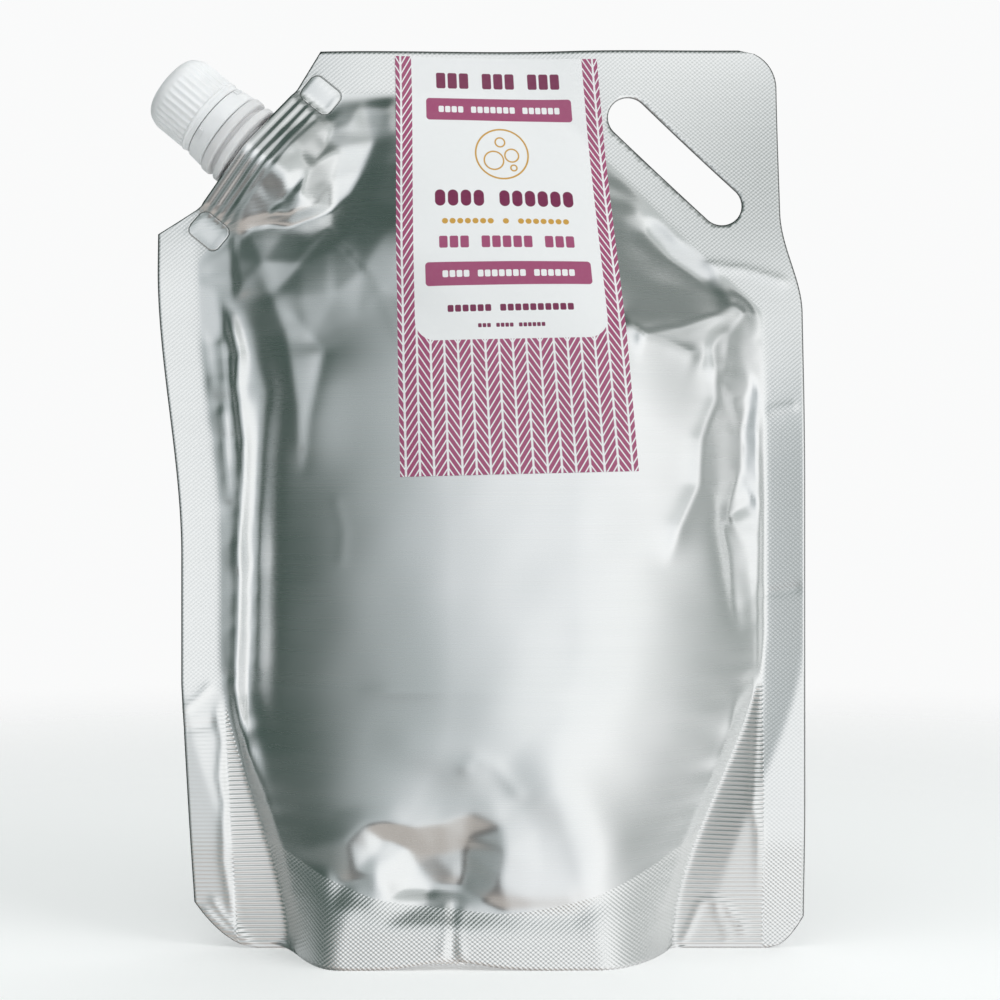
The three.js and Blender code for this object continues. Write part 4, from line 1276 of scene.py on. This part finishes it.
# %% Spin a section
AXIS_TILT = Matrix.Rotation(SPOUT_TILT - math.pi / 2, 4, "Y")
AXIS_PLACE = Matrix.Translation((SPOUT_FOOT[0], 0, SPOUT_FOOT[1])) @ AXIS_TILT
SIDES = 144


def spin_section(points, sides=SIDES):
    """A closed or axis-to-axis half section (radius, height), turned once round the axis."""
    bm = bmesh.new()
    verts = [bm.verts.new((r, 0, h)) for r, h in points]
    edges = [bm.edges.new(pair) for pair in zip(verts, verts[1:])]
    bmesh.ops.spin(
        bm,
        geom=verts + edges,
        axis=(0, 0, 1),
        cent=(0, 0, 0),
        steps=sides,
        angle=2 * math.pi,
        use_merge=True,
    )
    bmesh.ops.remove_doubles(bm, verts=bm.verts[:], dist=1e-4)
    bmesh.ops.recalc_face_normals(bm, faces=bm.faces[:])
    return bm


def arc(centre, radius, start, end, steps):
    """Points on a quarter or half circle of the section, by angles in degrees."""
    angles = np.radians(np.linspace(start, end, steps + 1))
    return [(centre[0] + radius * math.cos(a), centre[1] + radius * math.sin(a)) for a in angles]


def join_into(bm, other):
    """Adds another mesh to this one."""
    spare = bpy.data.meshes.new("spare")
    other.to_mesh(spare)
    other.free()
    bm.from_mesh(spare)
    bpy.data.meshes.remove(spare)


def place_on_spout(bm):
    bmesh.ops.transform(bm, matrix=AXIS_PLACE, verts=bm.verts[:])


print("spout axis tilts", round(math.degrees(SPOUT_TILT), 1), "degrees from level")

# %% Plastic finish


def plastic_finish(name, colour, roughness, cloudy):
    """Moulded polyethylene: milky, a little cloudy inside, with the faint grain of the tool."""
    plastic = Finish(name, subsurface_weight=cloudy, subsurface_scale=0.004)
    plastic.set("Subsurface Radius", (1.0, 0.95, 0.9))
    place = plastic.object_place()
    cloud = plastic.noise(place, 160.0, detail=3.0)
    darker = tuple(c * 0.93 for c in colour)
    plastic.set("Base Color", plastic.tint(cloud.ramp(0.35, 0.7), colour, darker))
    grain = plastic.noise(place, 2600.0)
    plastic.set("Roughness", roughness - 0.04 + grain * 0.1)
    plastic.bump(grain, 0.00002, 0.5)
    return plastic


spout_plastic = plastic_finish("spout_plastic", (0.76, 0.755, 0.76), 0.34, 0.35)
cap_plastic = plastic_finish("cap_plastic", (0.93, 0.932, 0.94), 0.4, 0.3)
print("two plastics")

# %% Spout
BORE = 6.6
NECK = 8.6
BAND_FROM = 7.2
BAND_TO = 12.1
CAP_FROM = 12.4
CAP_TO = 28.4
MOUTH = 25.3
BEAD = 9.2
GROOVE = 10.6
COLLAR = 12.45
LEAD = 6.0  # the cap rises this far in one turn
THREAD_FROM = 14.6


def collar(start, end, radius, rounding=0.6):
    low = arc((radius - rounding, start + rounding), rounding, -90, 0, 4)
    return low + arc((radius - rounding, end - rounding), rounding, 0, 90, 4)


def neck_mesh():
    section = [(BORE, -8.9), (BORE, MOUTH - 0.4), (BORE + 0.4, MOUTH), (NECK - 0.5, MOUTH)]
    section += arc((NECK - 0.5, MOUTH - 0.5), 0.5, 90, 0, 4)[1:]
    section += [(NECK, BAND_TO), (BEAD, BAND_TO - 1.1), (BEAD, BAND_TO - 1.3), (NECK, BAND_TO - 1.5)]
    section += [(NECK, 7.1)] + collar(4.2, 6.9, COLLAR)[::-1]
    section += [(GROOVE, 4.1), (GROOVE, 2.9)]
    section += collar(0.6, 2.8, COLLAR)[::-1]
    section += [(NECK, 0.5), (NECK, -8.9), (BORE, -8.9)]
    return spin_section(section)


def thread(radius_in, radius_out, start, turns, phase, half=0.5):
    """One start of a screw thread: a small section swept up a helix."""
    bm = bmesh.new()
    crest = half * 0.4
    section = [(radius_in, start - half), (radius_out, start - crest), (radius_out, start + crest)]
    section.append((radius_in, start + half))
    ring = [bm.verts.new((r, 0, h)) for r, h in section]
    bmesh.ops.rotate(bm, verts=ring, cent=(0, 0, 0), matrix=Matrix.Rotation(phase, 3, "Z"))
    face = bm.faces.new(ring)
    steps = int(turns * 72)
    bmesh.ops.spin(
        bm,
        geom=[face],
        axis=(0, 0, 1),
        cent=(0, 0, 0),
        dvec=(0, 0, LEAD * turns / steps),
        steps=steps,
        angle=2 * math.pi * turns,
    )
    bmesh.ops.contextual_create(bm, geom=ring)
    bmesh.ops.recalc_face_normals(bm, faces=bm.faces[:])
    return bm


def boat_mesh():
    """The lens-shaped foot: a strip of its outline, drawn down and closed."""
    bm = bmesh.new()
    bmesh.ops.create_grid(bm, x_segments=48, y_segments=2, size=0.5)
    for v in bm.verts:
        along = v.co.x * 2 * BOAT_HALF_LENGTH
        half = float(boat_half(np.array(along)))
        v.co = (along, math.copysign(half, v.co.y) if abs(v.co.y) > 0.1 else 0, 0)
    made = bmesh.ops.extrude_face_region(bm, geom=bm.faces[:])["geom"]
    moved = [g for g in made if isinstance(g, bmesh.types.BMVert)]
    bmesh.ops.translate(bm, verts=moved, vec=(0, 0, -BOAT_DEPTH))
    bmesh.ops.recalc_face_normals(bm, faces=bm.faces[:])
    rim = [e for e in bm.edges if all(abs(v.co.z) < 1e-4 for v in e.verts) and e.calc_face_angle(0) > 1]
    bmesh.ops.bevel(bm, geom=rim, offset=0.25, segments=2, profile=0.5, affect="EDGES", material=-1)
    return bm


spout_mesh = neck_mesh()
join_into(spout_mesh, boat_mesh())
for start in (0, 1):
    join_into(spout_mesh, thread(NECK - 0.2, NECK + 0.5, THREAD_FROM, 1.35, math.pi * start))
place_on_spout(spout_mesh)
spout = to_object(spout_mesh, "spout_moulding", spout_plastic, 38)
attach(spout, "pack")
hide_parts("spout")

# %% [markdown]
# ## Tamper band
# A ring that stays on the spout when the cap is turned. Four small tabs stand out near its upper
# edge. The thin bridges that join it to the cap of an unopened pack are left out.

# %% Tamper band
BAND_RADIUS = 11.95
TABS = 4
TAB_SIZE = (1.35, 3.2, 1.4)


def band_mesh():
    inner = BAND_RADIUS - 1.6
    section = [(inner, BAND_FROM), (BAND_RADIUS - 0.3, BAND_FROM), (BAND_RADIUS, BAND_FROM + 0.3)]
    section += [(BAND_RADIUS - 0.1, BAND_FROM + 1.5), (BAND_RADIUS - 0.4, BAND_TO - 0.35)]
    section += [(BAND_RADIUS - 0.75, BAND_TO), (inner, BAND_TO), (inner, BAND_FROM)]
    bm = spin_section(section)
    for k in range(TABS):
        tab = bmesh.new()
        bmesh.ops.create_cube(tab, size=1)
        bmesh.ops.scale(tab, verts=tab.verts[:], vec=TAB_SIZE)
        edges = {"geom": tab.edges[:], "affect": "EDGES", "material": -1}
        bmesh.ops.bevel(tab, offset=0.18, segments=2, profile=0.5, **edges)
        bmesh.ops.translate(tab, verts=tab.verts[:], vec=(BAND_RADIUS - 0.78, 0, BAND_TO - 1.0))
        turn = Matrix.Rotation(2 * math.pi * k / TABS + math.pi / 3, 3, "Z")
        bmesh.ops.rotate(tab, verts=tab.verts[:], cent=(0, 0, 0), matrix=turn)
        join_into(bm, tab)
    place_on_spout(bm)
    return bm


band = to_object(band_mesh(), "tamper_ring", cap_plastic, 38)
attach(band, "pack")
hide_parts("tamper_band")

# %% [markdown]
# ## Cap
# The cap's wall carries 36 fine ribs for the fingers, a raised ring at its mouth, and a softly
# domed top. The section is spun with eight steps to a rib, and each point of the ribbed stretch
# then moves out, so that the wall stays one closed skin.

# %% Cap
CAP_RADIUS = 10.9
CAP_BORE = 9.4
CAP_TOP = 1.5
CAP_DOME = 4.2  # rounding of the top edge
RING_PROUD = 0.25
RIBS = 36
RIB_PROUD = 0.38


def cap_section():
    section = [(0, CAP_TO - CAP_TOP), (CAP_BORE, CAP_TO - CAP_TOP)]
    section += [(CAP_BORE, CAP_FROM + 0.3), (CAP_BORE + 0.3, CAP_FROM), (CAP_RADIUS + 0.15, CAP_FROM)]
    section += [(CAP_RADIUS + RING_PROUD, CAP_FROM + 0.12), (CAP_RADIUS + RING_PROUD, CAP_FROM + 1.15)]
    section += arc((CAP_RADIUS, CAP_FROM + 1.85), 0.55, -60, 60, 6)
    section += [(CAP_RADIUS, CAP_FROM + up) for up in (2.5, 2.8, 6, 9.4, 10.2, 10.8)]
    section += arc((CAP_RADIUS - CAP_DOME, CAP_TO - CAP_DOME), CAP_DOME, 0, 84, 14)
    section += [(CAP_RADIUS - CAP_DOME - 0.6, CAP_TO), (3, CAP_TO), (0, CAP_TO)]
    return section


def raise_ribs(bm):
    low, high = CAP_FROM + 2.45, CAP_TO - CAP_DOME + 1.6
    for v in bm.verts:
        radius = math.hypot(v.co.x, v.co.y)
        height = v.co.z
        if radius < CAP_BORE + 0.8 or not low <= height <= high:
            continue
        angle = math.atan2(v.co.y, v.co.x)
        wave = 0.5 + 0.5 * math.cos(RIBS * angle)
        tall = float(ramp((height - low) / 0.35) * (1 - ramp((height - high + 2.6) / 2.6)))
        grow = 1 + RIB_PROUD * wave ** 1.4 * tall / radius
        v.co.x *= grow
        v.co.y *= grow


cap_mesh = spin_section(cap_section(), RIBS * 8)
raise_ribs(cap_mesh)
for start in (0, 1):
    turned = math.pi * (start + 0.5)
    join_into(cap_mesh, thread(CAP_BORE + 0.2, CAP_BORE - 0.45, THREAD_FROM, 1.3, turned))
place_on_spout(cap_mesh)
cap = to_object(cap_mesh, "ribbed_cap", cap_plastic, 45)
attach(cap, "cap")
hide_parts("screw_cap")

# %% [markdown]
# ## Liner
# A disc of white foam inside the cap that seals the mouth.

# %% Liner
LINER_RADIUS = CAP_BORE - 0.45
LINER_FROM = 25.6
LINER_TO = 26.6
LINER_ROUND = 0.2


def liner_mesh():
    edge = LINER_RADIUS - LINER_ROUND
    section = [(0, LINER_FROM), (edge, LINER_FROM), (LINER_RADIUS, LINER_FROM + LINER_ROUND)]
    section += [(LINER_RADIUS, LINER_TO - LINER_ROUND), (edge, LINER_TO), (0, LINER_TO)]
    bm = spin_section(section, 72)
    place_on_spout(bm)
    return bm


def foam_finish():
    foam = Finish("liner_foam", roughness=0.8)
    cells = foam.node("ShaderNodeTexVoronoi", values={"Vector": foam.object_place(), "Scale": 2200.0})
    foam.set("Base Color", foam.tint(cells.ramp(0.1, 0.6), (0.93, 0.93, 0.9), (0.82, 0.82, 0.79)))
    foam.bump(cells, 0.00006, 0.6)
    return foam


liner = to_object(liner_mesh(), "cap_wad", foam_finish(), 38)
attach(liner, "liner")
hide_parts("cap_liner")
